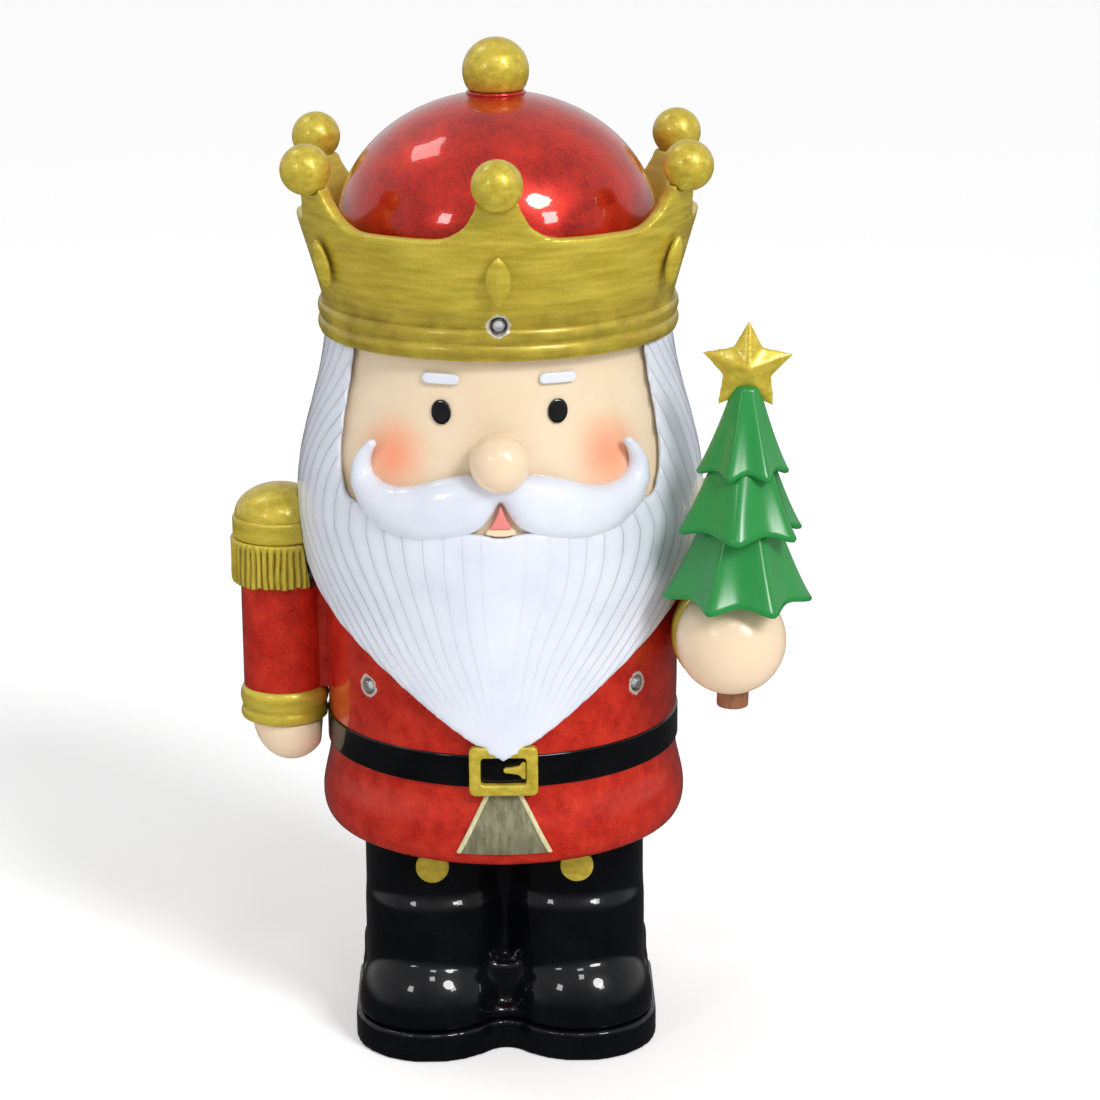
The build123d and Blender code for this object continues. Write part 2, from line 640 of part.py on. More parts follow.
with BuildPart() as buckle_prong:
    with BuildSketch(Plane.XZ.offset(BELT_R)):
        with BuildLine():
            Polyline(
                (0, BUCKLE_Z - PRONG_H / 4),
                (PRONG_L - 3.2, BUCKLE_Z - PRONG_H / 2),
                (PRONG_L - 2.4, BUCKLE_Z - PRONG_H),
                (BUCKLE_W / 2 - BUCKLE_BAR, BUCKLE_Z - PRONG_H),
                (BUCKLE_W / 2 - BUCKLE_BAR, BUCKLE_Z + PRONG_H),
                (PRONG_L - 2.4, BUCKLE_Z + PRONG_H),
                (PRONG_L - 3.2, BUCKLE_Z + PRONG_H / 2),
                (0, BUCKLE_Z + PRONG_H / 4),
                close=True,
            )
        make_face()
    extrude(amount=BUCKLE_T - 0.9)
buckle_prong.part.label = "buckle_prong"


def skirt_slab(outline, depth):
    """Piece of that front outline lying depth mm proud of the skirt."""
    with BuildPart() as shell:
        with BuildSketch(upright()):
            with BuildLine():
                side_line = Spline(
                    (BODY_R - 0.2 + depth, BELT_LOW),
                    (SKIRT_R - 1.0 + depth, BELT_LOW - 7.5),
                    (SKIRT_R + depth, SKIRT_BULGE_Z),
                    (SKIRT_R - 1.6 + depth, SKIRT_LOW + 1.4),
                    (SKIRT_R - 5.2 + depth, SKIRT_LOW),
                )
                Polyline(side_line @ 1, (0, SKIRT_LOW), (0, BELT_LOW), side_line @ 0)
            make_face()
        revolve(axis=Axis.Z)
        add(skirt_body.part, mode=Mode.SUBTRACT)
        extrude(outline, amount=2 * SKIRT_R, mode=Mode.INTERSECT)
    return shell.part


def placket_point(height, inset=0.0):
    """Half width of the placket at a height, less an inset from its edge."""
    share = (height - PLACKET_LOW_Z) / (PLACKET_TOP_Z - PLACKET_LOW_Z)
    return PLACKET_LOW_W / 2 + share * (PLACKET_TOP_W - PLACKET_LOW_W) / 2 - inset


with BuildSketch(Plane.XZ.offset(BODY_R - 8.0)) as placket_outline:
    Polygon(
        (-placket_point(PLACKET_LOW_Z, TRIM_W), PLACKET_LOW_Z),
        (placket_point(PLACKET_LOW_Z, TRIM_W), PLACKET_LOW_Z),
        (placket_point(PLACKET_TOP_Z, TRIM_W), PLACKET_TOP_Z),
        (-placket_point(PLACKET_TOP_Z, TRIM_W), PLACKET_TOP_Z),
        align=None,
    )
with BuildPart() as placket:
    add(skirt_slab(placket_outline.sketch, PLACKET_T))
placket.part.label = "placket"

with BuildSketch(Plane.XZ.offset(BODY_R - 8.0)) as trim_outline:
    for side in (-1, 1):
        Polygon(
            (side * placket_point(PLACKET_LOW_Z, TRIM_W), PLACKET_LOW_Z),
            (side * placket_point(PLACKET_LOW_Z), PLACKET_LOW_Z),
            (side * placket_point(PLACKET_TOP_Z), PLACKET_TOP_Z),
            (side * placket_point(PLACKET_TOP_Z, TRIM_W), PLACKET_TOP_Z),
            align=None,
        )
with BuildPart() as placket_trims:
    add(skirt_slab(trim_outline.sketch, TRIM_T))
placket_trims.part.label = "placket_trims"

# ===========================================================================================================
# Head, hair and beard, face
# ===========================================================================================================


def head_section(inset, low):
    """Half section of the hair's outer shape less an inset, down to a height."""
    with BuildSketch(upright()) as section:
        with BuildLine():
            side_line = Spline(
                (HAIR_TOP_R - inset, CROWN_Z),
                (HAIR_TOP_R + 2.0 - inset, CROWN_Z - 12.2),
                (HAIR_R - 0.9 - inset, HAIR_WIDE_Z + 13.0),
                (HAIR_R - inset, HAIR_WIDE_Z),
                (HAIR_R - 1.2 - inset, NECK_Z),
            )
            corner = side_line @ 1
            if low < NECK_Z:
                foot = Spline(corner, (BEARD_R + 0.4 - inset, NECK_Z - 17), (BEARD_R - inset, low))
                corner = foot @ 1
            Polyline(corner, (0, low), (0, CROWN_Z), side_line @ 0)
        make_face()
    return section.sketch


with BuildPart() as hair_body:
    revolve(head_section(0.0, BEARD_TIP_Z - 2.0), axis=Axis.Z)

with BuildPart() as head_body:
    revolve(head_section(HAIR_T, NECK_Z), axis=Axis.Z)

with BuildPart() as head:
    add(head_body.part)
    revolve(head_section(HAIR_T + WALL, NECK_Z), axis=Axis.Z, mode=Mode.SUBTRACT)
    with BuildSketch(Plane.XY.offset(CROWN_Z - WALL)):
        Circle(HAIR_TOP_R - HAIR_T)
        Circle(HEAD_TOP_HOLE, mode=Mode.SUBTRACT)
    extrude(amount=WALL)
head.part.label = "head"

# Everything below the beard's edge, seen from the front
with BuildSketch(Plane.XZ) as below_beard:
    with BuildLine():
        beard_edge = Spline(
            (0, BEARD_TIP_Z),
            (12.0, BEARD_TIP_Z + 7.8),
            (28.5, NECK_Z - 21.4),
            (44.2, NECK_Z - 7.6),
            (HAIR_R + 1.5, NECK_Z + 12.0),
        )
        Polyline(beard_edge @ 1, (2 * HAIR_R, NECK_Z + 12.0), (2 * HAIR_R, 0), (0, 0), beard_edge @ 0)
    make_face()
    mirror(about=Plane.YZ)

with BuildSketch(Plane.XZ) as face_opening:
    with BuildLine():
        side_edge = Spline(
            (FACE_TOP_X, CROWN_Z), (CHEEK_X - 0.8, CHEEK_Z + 8.0), (CHEEK_X, CHEEK_Z), (CHEEK_X - 1.2, CHEEK_Z - 9.6)
        )
        Polyline(side_edge @ 1, (28.0, CHIN_Z + 3.0), (0, CHIN_Z), (0, CROWN_Z + 1.0), (FACE_TOP_X, CROWN_Z + 1.0))
        Line((FACE_TOP_X, CROWN_Z + 1.0), side_edge @ 0)
    make_face()
    mirror(about=Plane.YZ)

with BuildPart() as hair_and_beard:
    add(hair_body.part)
    add(head_body.part, mode=Mode.SUBTRACT)
    add(coat_body.part, mode=Mode.SUBTRACT)
    with BuildSketch(Plane.XY.offset(BELT_LOW)):
        Circle(BELT_R)
    extrude(amount=BELT_W, mode=Mode.SUBTRACT)
    add(belt_buckle.part, mode=Mode.SUBTRACT)
    extrude(below_beard.sketch, amount=2 * HAIR_R, mode=Mode.SUBTRACT)
    extrude(face_opening.sketch, amount=2 * HAIR_R, mode=Mode.SUBTRACT)
    with BuildSketch(Plane.XY.offset(BEARD_TIP_Z - 10)):
        with Locations((0, HAIR_R)):
            Rectangle(4 * HAIR_R, 2 * HAIR_R)
    extrude(amount=HAIR_BACK_Z - BEARD_TIP_Z + 10, mode=Mode.SUBTRACT)
hair_and_beard.part.label = "hair_and_beard"

with BuildSketch(Plane.XZ) as moustache_lobe:
    with BuildLine():
        lobe = Spline(
            (0, MOUSTACHE_MID_Z),
            (7.0, NECK_Z + 14.9),
            (20.0, NECK_Z + 13.9),
            (33.0, NECK_Z + 18.0),
            (MOUSTACHE_X, NECK_Z + 25.0),
            (31.4, NECK_Z + 34.6),
            (31.0, NECK_Z + 29.0),
            (27.0, NECK_Z + 24.6),
            (16.9, NECK_Z + 28.4),
            (5.0, NECK_Z + 32.0),
            (0, NECK_Z + 30.6),
        )
        Line(lobe @ 1, lobe @ 0)
    make_face()
    mirror(about=Plane.YZ)

with BuildPart() as moustache:
    with BuildSketch(Plane.XY.offset(NECK_Z + 10.0)):
        Circle(MOUSTACHE_R)
    extrude(amount=HEAD_H / 2)
    extrude(moustache_lobe.sketch, amount=2 * MOUSTACHE_R, mode=Mode.INTERSECT)
    add(head_body.part, mode=Mode.SUBTRACT)
    add(hair_and_beard.part, mode=Mode.SUBTRACT)
    with Locations((0, -NOSE_Y, NOSE_Z)):
        Sphere(NOSE_R, mode=Mode.SUBTRACT)
moustache.part.label = "moustache"

with BuildPart() as nose:
    with Locations((0, -NOSE_Y, NOSE_Z)):
        Sphere(NOSE_R)
    add(head_body.part, mode=Mode.SUBTRACT)
nose.part.label = "nose"


def face_shell(depth):
    """Skin of the head thickened outward by depth, in front only."""
    with BuildPart() as shell:
        revolve(head_section(HAIR_T - depth, NECK_Z), axis=Axis.Z)
        add(head_body.part, mode=Mode.SUBTRACT)
    return shell.part


with BuildPart() as eyes:
    add(face_shell(EYE_T))
    with BuildSketch(Plane.XZ):
        with Locations((-EYE_X, EYE_Z), (EYE_X, EYE_Z)):
            Ellipse(EYE_W / 2, EYE_H / 2)
    extrude(amount=2 * HAIR_R, mode=Mode.INTERSECT)
eyes.part.label = "eyes"

with BuildPart() as eyebrows:
    add(face_shell(BROW_T))
    with BuildSketch(Plane.XZ):
        for side in (-1, 1):
            with Locations((side * BROW_X, BROW_Z)):
                SlotOverall(BROW_W, BROW_H)
    extrude(amount=2 * HAIR_R, mode=Mode.INTERSECT)
eyebrows.part.label = "eyebrows"

with BuildPart() as mouth:
    add(face_shell(MOUTH_T))
    with BuildSketch(Plane.XZ):
        Polygon(
            (-MOUTH_W / 2, MOUTH_LOW_Z), (MOUTH_W / 2, MOUTH_LOW_Z), (0, MOUTH_HIGH_Z), align=None
        )
    extrude(amount=2 * HAIR_R, mode=Mode.INTERSECT)
    add(moustache.part, mode=Mode.SUBTRACT)
mouth.part.label = "mouth"

with BuildPart() as lower_lip:
    add(face_shell(LIP_T))
    with BuildSketch(Plane.XZ):
        with Locations((0, MOUTH_LOW_Z)):
            Ellipse(LIP_W / 2, LIP_H / 2)
    extrude(amount=2 * HAIR_R, mode=Mode.INTERSECT)
    for neighbour in (mouth, moustache, hair_and_beard):
        add(neighbour.part, mode=Mode.SUBTRACT)
lower_lip.part.label = "lower_lip"

# ===========================================================================================================
# Crown, cap and finial
# ===========================================================================================================
CROWN_WALL_LOW = CROWN_Z + 8.7
CROWN_TIP_Z = CROWN_Z + CROWN_WALL_H
CROWN_MID_Z = CROWN_Z + 21.7
CROWN_IN_R = CAP_R + CROWN_GAP


def crown_outside(depth):
    """Outer line of the crown wall, moved outward by depth."""
    return ThreePointArc(
        (CROWN_LOW_R + depth, CROWN_WALL_LOW),
        (CROWN_MID_R + depth, CROWN_MID_Z),
        (CROWN_TIP_R + depth, CROWN_TIP_Z),
    )


with BuildPart() as crown_wall:
    with BuildSketch(upright()):
        with BuildLine():
            outside = crown_outside(0.0)
            inside = ThreePointArc(
                (CROWN_IN_R, CROWN_WALL_LOW),
                (CROWN_MID_R - CROWN_MID_T, CROWN_MID_Z),
                (CROWN_TIP_R - CROWN_TIP_T, CROWN_TIP_Z),
            )
            Line(outside @ 1, inside @ 1)
            Polyline(inside @ 0, (CROWN_IN_R, CROWN_Z), (CROWN_LOW_R, CROWN_Z), outside @ 0)
        make_face()
    revolve(axis=Axis.Z)

with BuildPart() as crown_balls:
    with PolarLocations(BALL_RING_R, POINTS, start_angle=-90):
        with Locations((0, 0, BALL_Z)):
            Sphere(BALL_R)
crown_balls.part.label = "crown_balls"

with BuildPart() as crown:
    add(crown_wall.part)
    for valley in range(POINTS):
        with BuildSketch(radial((valley + 0.5) * 360 / POINTS, CROWN_IN_R / 2, 0)):
            with Locations((0, VALLEY_Z + VALLEY_W / 2)):
                RectangleRounded(VALLEY_W, VALLEY_W, VALLEY_ROUND)
        extrude(amount=CROWN_TIP_R, mode=Mode.SUBTRACT)
    add(crown_balls.part, mode=Mode.SUBTRACT)
    with BuildSketch(radial(0, CROWN_IN_R - 1.0, CROWN_LED_Z)):
        Circle(LED_HOLE_R)
    extrude(amount=8.0, mode=Mode.SUBTRACT)
crown.part.label = "crown"

with BuildPart() as crown_band:
    with BuildSketch(upright()):
        for bead in (0.25, 0.75):
            with Locations((CROWN_LOW_R, CROWN_Z + bead * BAND_H)):
                Ellipse(BAND_T, BAND_H / 4)
        with Locations((CROWN_LOW_R - BAND_T / 2, CROWN_Z + BAND_H / 2)):
            Rectangle(BAND_T, BAND_H, mode=Mode.SUBTRACT)
        with Locations((CROWN_LOW_R + BAND_T / 4, CROWN_Z + BAND_H / 2)):
            Rectangle(BAND_T / 2, BAND_H)
    revolve(axis=Axis.Z)
    with BuildSketch(radial(0, CROWN_LOW_R - 1.0, CROWN_LED_Z)):
        Circle(LED_HOLE_R)
    extrude(amount=8.0, mode=Mode.SUBTRACT)
crown_band.part.label = "crown_band"

with BuildPart() as jewel_prisms:
    for point in range(POINTS):
        with BuildSketch(radial(point * 360 / POINTS, CROWN_IN_R, 0)):
            with BuildLine():
                top = (0, JEWEL_LOW_Z + JEWEL_H)
                low = (0, JEWEL_LOW_Z)
                ThreePointArc(low, (JEWEL_W / 2, JEWEL_LOW_Z + JEWEL_H / 2), top)
                ThreePointArc(top, (-JEWEL_W / 2, JEWEL_LOW_Z + JEWEL_H / 2), low)
            make_face()
        extrude(amount=12.0)

with BuildPart() as crown_jewels:
    with BuildSketch(upright()):
        with BuildLine():
            back = crown_outside(0.0)
            front = crown_outside(JEWEL_T)
            Line(back @ 0, front @ 0)
            Line(back @ 1, front @ 1)
        make_face()
    revolve(axis=Axis.Z)
    add(jewel_prisms.part, mode=Mode.INTERSECT)
crown_jewels.part.label = "crown_jewels"

with BuildPart() as cap:
    turned_post(0, 0, CAP_R, CROWN_Z, CAP_SPRING_Z, CAP_TOP)
    turned_post(0, 0, CAP_R - WALL, CROWN_Z, CAP_SPRING_Z, CAP_TOP - WALL, Mode.SUBTRACT)
    with BuildSketch(radial(0, CAP_R - 2 * WALL, CROWN_LED_Z)):
        Circle(LED_HOLE_R)
    extrude(amount=3 * WALL, mode=Mode.SUBTRACT)
cap.part.label = "cap"

with BuildPart() as cap_collar:
    with BuildSketch(Plane.XY.offset(CAP_TOP - 3.0)):
        Circle(COLLAR_R)
    extrude(amount=COLLAR_H - 1.2)
    fillet(cap_collar.edges().sort_by(Axis.Z)[-1], 0.6)
    turned_post(0, 0, CAP_R, CROWN_Z, CAP_SPRING_Z, CAP_TOP, Mode.SUBTRACT)
cap_collar.part.label = "cap_collar"

with BuildPart() as finial:
    with Locations((0, 0, FINIAL_Z)):
        Sphere(FINIAL_R)
    with BuildSketch(Plane.XY.offset(CAP_TOP - 3.0 + COLLAR_H - 1.2)):
        Circle(FINIAL_NECK_R)
    extrude(amount=2.0)
    with BuildSketch(Plane.XY.offset(CAP_TOP - 10.0)):
        Circle(2 * FINIAL_R)
    extrude(amount=7.0 + COLLAR_H - 1.2, mode=Mode.SUBTRACT)
finial.part.label = "finial"

# ===========================================================================================================
# Arms
# ===========================================================================================================


with BuildPart() as hair_over_arms_body:
    add(hair_body.part)
    with BuildSketch(Plane.XY.offset(BEARD_TIP_Z - 10)):
        Circle(2 * HAIR_R)
    extrude(amount=HAIR_BACK_Z - BEARD_TIP_Z + 10, mode=Mode.SUBTRACT)
hair_over_arms = hair_over_arms_body.part


def epaulette(x):
    """Gold shoulder piece at x: its dome, its band and its ring of fringe."""
    with BuildPart() as dome:
        turned_post(
            x, 0, EPAULETTE_R - 0.6, BAND_LOW_Z + EPAULETTE_BAND_H, BAND_LOW_Z + EPAULETTE_BAND_H,
            BAND_LOW_Z + EPAULETTE_BAND_H + DOME_H,
        )
        add(hair_over_arms, mode=Mode.SUBTRACT)
    with BuildPart() as shoulder_band:
        with BuildSketch(Plane.XY.offset(BAND_LOW_Z)):
            with Locations((x, 0)):
                Circle(EPAULETTE_R)
        extrude(amount=EPAULETTE_BAND_H)
        fillet(shoulder_band.edges(), 0.9)
        add(hair_over_arms, mode=Mode.SUBTRACT)
    with BuildPart() as fringe:
        with BuildSketch(Plane.XY.offset(BAND_LOW_Z - FRINGE_H)):
            with Locations((x, 0)):
                Circle(FRINGE_R - STRAND_R)
                with PolarLocations(FRINGE_R - STRAND_R, FRINGE_STRANDS):
                    Circle(2 * STRAND_R)
                Circle(SLEEVE_R + GLUE_GAP, mode=Mode.SUBTRACT)
        extrude(amount=FRINGE_H)
        add(hair_over_arms, mode=Mode.SUBTRACT)
        add(coat_body.part, mode=Mode.SUBTRACT)
    return dome, shoulder_band, fringe


hanging_dome, hanging_band, hanging_fringe = epaulette(-ARM_X)
raised_dome, raised_band, raised_fringe = epaulette(ARM_X)
hanging_dome.part.label = "hanging_arm_epaulette"
hanging_band.part.label = "hanging_arm_epaulette_band"
hanging_fringe.part.label = "hanging_arm_fringe"
raised_dome.part.label = "raised_arm_epaulette"
raised_band.part.label = "raised_arm_epaulette_band"

with BuildPart() as hanging_sleeve:
    with BuildSketch(Plane.XY.offset(SLEEVE_LOW_Z)):
        with Locations((-ARM_X, 0)):
            Circle(SLEEVE_R)
    extrude(amount=BAND_LOW_Z - SLEEVE_LOW_Z)
    with BuildSketch(Plane.XY.offset(SLEEVE_LOW_Z)):
        with Locations((-ARM_X + SLEEVE_R, 0)):
            Rectangle(2 * SLEEVE_R, WEB_W)
    extrude(amount=BAND_LOW_Z - FRINGE_H - SLEEVE_LOW_Z)
    add(hair_over_arms, mode=Mode.SUBTRACT)
    add(coat_body.part, mode=Mode.SUBTRACT)
hanging_sleeve.part.label = "hanging_arm_sleeve"

CUFF_LOW_Z = SLEEVE_LOW_Z - CUFF_H
with BuildPart() as hanging_cuff:
    with BuildSketch(upright(-ARM_X, 0)):
        with BuildLine():
            Polyline((0, SLEEVE_LOW_Z), (0, CUFF_LOW_Z), (CUFF_R - 0.6, CUFF_LOW_Z))
            ThreePointArc(
                (CUFF_R - 0.6, CUFF_LOW_Z), (CUFF_R, CUFF_LOW_Z + 1.6), (CUFF_R - 0.8, CUFF_LOW_Z + 3.2)
            )
            ThreePointArc(
                (CUFF_R - 0.8, CUFF_LOW_Z + 3.2), (CUFF_R, SLEEVE_LOW_Z - 2.6), (CUFF_R - 0.9, SLEEVE_LOW_Z)
            )
            Line((CUFF_R - 0.9, SLEEVE_LOW_Z), (0, SLEEVE_LOW_Z))
        make_face()
    revolve(axis=vertical_axis(-ARM_X, 0))
    with BuildSketch(Plane.XY.offset(BELT_LOW - 1)):
        Circle(BELT_R + GLUE_GAP)
    extrude(amount=BELT_W + 2, mode=Mode.SUBTRACT)
    add(coat_body.part, mode=Mode.SUBTRACT)
hanging_cuff.part.label = "hanging_arm_cuff"

with BuildPart() as hanging_hand:
    with BuildSketch(upright(-HAND_X, 0)):
        with BuildLine():
            Line((0, CUFF_LOW_Z), (HAND_W, CUFF_LOW_Z))
            quarter_round((HAND_W, CUFF_LOW_Z), (0, HAND_LOW_Z))
            Line((0, HAND_LOW_Z), (0, CUFF_LOW_Z))
        make_face()
    revolve(axis=vertical_axis(-HAND_X, 0))
    with BuildSketch(Plane.XY.offset(HAND_LOW_Z - 1)):
        Circle(SKIRT_R + 0.4)
    extrude(amount=CUFF_LOW_Z - HAND_LOW_Z + 2, mode=Mode.SUBTRACT)
hanging_hand.part.label = "hanging_hand"

elbow = Vector(ARM_X, 0, ELBOW_Z)
cuff_back = Vector(FIST_X, RAISED_CUFF_Y, RAISED_CUFF_Z)
forearm = (cuff_back - elbow).normalized()
with BuildPart() as raised_sleeve:
    with BuildSketch(Plane.XY.offset(ELBOW_Z)):
        with Locations((ARM_X, 0)):
            Circle(SLEEVE_R)
    extrude(amount=BAND_LOW_Z - ELBOW_Z)
    with Locations(elbow):
        Sphere(SLEEVE_R)
    with BuildSketch(Plane(origin=elbow, z_dir=forearm)):
        Circle(SLEEVE_R)
    with BuildSketch(Plane(origin=cuff_back, z_dir=forearm)):
        Circle(FOREARM_END_R)
    loft()
    with BuildSketch(Plane.XY.offset(ELBOW_Z - SLEEVE_R / 2)):
        with Locations((ARM_X - SLEEVE_R, 0)):
            Rectangle(2 * SLEEVE_R, WEB_W)
    extrude(amount=BAND_LOW_Z - FRINGE_H - ELBOW_Z + SLEEVE_R / 2)
    add(hair_over_arms, mode=Mode.SUBTRACT)
    add(coat_body.part, mode=Mode.SUBTRACT)
raised_sleeve.part.label = "raised_arm_sleeve"

# The raised forearm pushes up into the front of its fringe
with BuildPart() as raised_fringe_cut:
    add(raised_fringe.part)
    add(raised_sleeve.part, mode=Mode.SUBTRACT)
raised_fringe_cut.part.label = "raised_arm_fringe"

fist_centre = Vector(FIST_X, FIST_Y, FIST_Z)
tree_axis = Vector(math.sin(math.radians(TREE_LEAN)), 0, math.cos(math.radians(TREE_LEAN)))
tree_foot = Plane(origin=(TRUNK_X, FIST_Y, TRUNK_LOW_Z), x_dir=(tree_axis.Z, 0, -tree_axis.X), z_dir=tree_axis)

with BuildPart() as raised_hand:
    with Locations(fist_centre):
        Sphere(FIST_R)
    with BuildSketch(Plane(origin=cuff_back, z_dir=forearm)):
        Circle(WRIST_R)
    extrude(amount=(fist_centre - cuff_back).length)
    with BuildSketch(tree_foot):
        Circle(TRUNK_R + GLUE_GAP)
    extrude(amount=LOWER_TIER[0] + LOWER_TIER[1], mode=Mode.SUBTRACT)
raised_hand.part.label = "raised_hand"

with BuildPart() as raised_cuff:
    with BuildSketch(Plane(origin=cuff_back, z_dir=forearm)):
        Circle(RAISED_CUFF_R)
    extrude(amount=RAISED_CUFF_H)
    fillet(raised_cuff.edges(), 1.4)
    add(raised_hand.part, mode=Mode.SUBTRACT)
    add(hair_over_arms, mode=Mode.SUBTRACT)
    add(coat_body.part, mode=Mode.SUBTRACT)
raised_cuff.part.label = "raised_arm_cuff"

# ===========================================================================================================
# Tree: trunk, three tiers of folded branches and the star
# ===========================================================================================================
with BuildPart() as tree_trunk:
    with BuildSketch(tree_foot):
        Circle(TRUNK_R)
    extrude(amount=MIDDLE_TIER[0] + 6.0)
tree_trunk.part.label = "tree_trunk"


def tier_section(height, radius, turn):
    """Section of a tier at a height up the tree: a closed wavy line with one lobe for each fold."""
    steps = 2 * TREE_LOBES
    crests = [
        Vector(radius * (1 - TIER_DEPTH * (step % 2)), 0).rotate(Axis.Z, turn + step * 360 / steps)
        for step in range(steps)
    ]
    with BuildSketch(tree_foot.offset(height)) as section:
        with BuildLine():
            Spline(crests, periodic=True)
        make_face()
    return section.sketch


def tree_tier(low, height, low_radius, top_radius, turn):
    """One skirt of branches, spreading downwards, on the tree's leaning axis."""
    with BuildPart() as tier:
        loft(
            [
                tier_section(low, low_radius, turn),
                tier_section(low + height / 2, (low_radius + top_radius) * 0.46, turn),
                tier_section(low + height, top_radius, turn),
            ]
        )
    return tier


lower_tier = tree_tier(*LOWER_TIER, turn=0)
middle_tier = tree_tier(*MIDDLE_TIER, turn=20)
upper_tier = tree_tier(*UPPER_TIER, turn=5)

with BuildPart() as tree_lower_tier:
    add(lower_tier.part)
    add(middle_tier.part, mode=Mode.SUBTRACT)
    add(tree_trunk.part, mode=Mode.SUBTRACT)
    add(raised_hand.part, mode=Mode.SUBTRACT)
tree_lower_tier.part.label = "tree_lower_tier"

with BuildPart() as tree_middle_tier:
    add(middle_tier.part)
    add(upper_tier.part, mode=Mode.SUBTRACT)
    add(tree_trunk.part, mode=Mode.SUBTRACT)
tree_middle_tier.part.label = "tree_middle_tier"

with BuildPart() as tree_star:
    star_plane = Plane(origin=(tree_foot.origin + tree_axis * STAR_H), x_dir=tree_foot.x_dir, z_dir=(0, -1, 0))
    with BuildSketch(star_plane) as star_outline:
        corners = [
            Vector(0, STAR_IN_R if step % 2 else STAR_R).rotate(Axis.Z, step * 36) for step in range(10)
        ]
        Polygon(*corners, align=None)
    face = star_outline.sketch.face()
    for way in (-1, 1):
        tip = star_plane.origin + star_plane.z_dir * way * STAR_T
        loft(sections=[face, Vertex(tip)])
tree_star.part.label = "tree_star"

with BuildPart() as tree_upper_tier:
    add(upper_tier.part)
    add(tree_star.part, mode=Mode.SUBTRACT)
tree_upper_tier.part.label = "tree_upper_tier"

# ===========================================================================================================
# Lamps and wires
# ===========================================================================================================


def lamp(place):
    """Clear 3 mm lamp with its flange, its dome LED_PROUD beyond the plane given."""
    with BuildPart() as bulb:
        with BuildSketch(place.offset(LED_PROUD - LED_L)):
            Circle(LED_R)
        extrude(amount=LED_L - LED_R)
        with BuildSketch(place.offset(LED_PROUD - LED_L)):
            Circle(LED_FLANGE_R)
        extrude(amount=LED_FLANGE_T)
        with Locations(place.offset(LED_PROUD - LED_R)):
            Sphere(LED_R)
    return bulb.part


crown_lamp_place = radial(0, CROWN_LOW_R, CROWN_LED_Z)
coat_lamp_places = [radial(side * COAT_LED_ANGLE, COAT_R, COAT_LED_Z) for side in (-1, 1)]
crown_bulb = lamp(crown_lamp_place)
coat_bulbs = [lamp(place) for place in coat_lamp_places]

with BuildPart() as crown_lamp:
    add(crown_bulb)
crown_lamp.part.label = "crown_lamp"

with BuildPart() as coat_lamps:
    add(coat_bulbs)
coat_lamps.part.label = "coat_lamps"


def wire(start_y, place, top_z, reach):
    """Wire pair that rises from the battery box to top_z and ends at the back of the lamp at that place."""
    back = place.offset(LED_PROUD - LED_L).origin
    inner = place.offset(-reach).origin
    with BuildPart() as lead:
        with BuildLine() as route:
            FilletPolyline(
                (WIRE_X, start_y, TRAY_TOP), (WIRE_X, start_y, top_z), tuple(inner), tuple(back),
                radius=WIRE_BEND,
            )
        path = route.wires()[0]
        with BuildSketch(Plane(origin=path @ 0, z_dir=path % 0)):
            Circle(WIRE_R)
        sweep(path=path)
    return lead.part


coat_wire_reach = LED_L + 2.2 * WIRE_BEND
wires = [
    wire(WIRE_PITCH, coat_lamp_places[0], COAT_LED_Z - WIRE_BEND, coat_wire_reach),
    wire(0.0, coat_lamp_places[1], COAT_LED_Z - 3 * WIRE_BEND, coat_wire_reach),
    wire(-WIRE_PITCH, crown_lamp_place, NECK_Z + HEAD_H / 2, LED_L + 3 * WIRE_BEND),
]
with BuildPart() as lamp_wires:
    add(wires)
lamp_wires.part.label = "lamp_wires"

# ===========================================================================================================
# Files
# ===========================================================================================================
pieces = [
    boots, boot_soles, boot_buttons,
    base_plate, base_screws, battery_tray, battery_door, door_hinge_pin, *batteries,
    contact_springs, contact_plates, switch_body, switch_knob,
    coat_skirt, coat_torso, belt, belt_buckle, buckle_prong, placket, placket_trims,
    head, hair_and_beard, moustache, nose, eyes, eyebrows, mouth, lower_lip,
    crown, crown_band, crown_balls, crown_jewels, cap, cap_collar, finial,
    hanging_dome, hanging_band, hanging_fringe, hanging_sleeve, hanging_cuff, hanging_hand,
    raised_dome, raised_band, raised_fringe_cut, raised_sleeve, raised_cuff, raised_hand,
    tree_trunk, tree_lower_tier, tree_middle_tier, tree_upper_tier, tree_star,
    crown_lamp, coat_lamps, lamp_wires,
]

os.makedirs("parts", exist_ok=True)
for piece in pieces:
    export_step(piece.part, f"parts/{piece.part.label}.step")
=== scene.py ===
"""Looks of a painted nutcracker king with lamps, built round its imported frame.

Every sub-assembly is a class that cuts or keeps its own pieces and gives them their finish.  Sizes in the
dataclass fields are in millimetres; meshes are in metres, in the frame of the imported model.
"""

import sys
import logging
import math
from collections.abc import Callable
from dataclasses import dataclass
from enum import Enum

import bmesh
import bpy
from mathutils import Matrix, Vector, noise


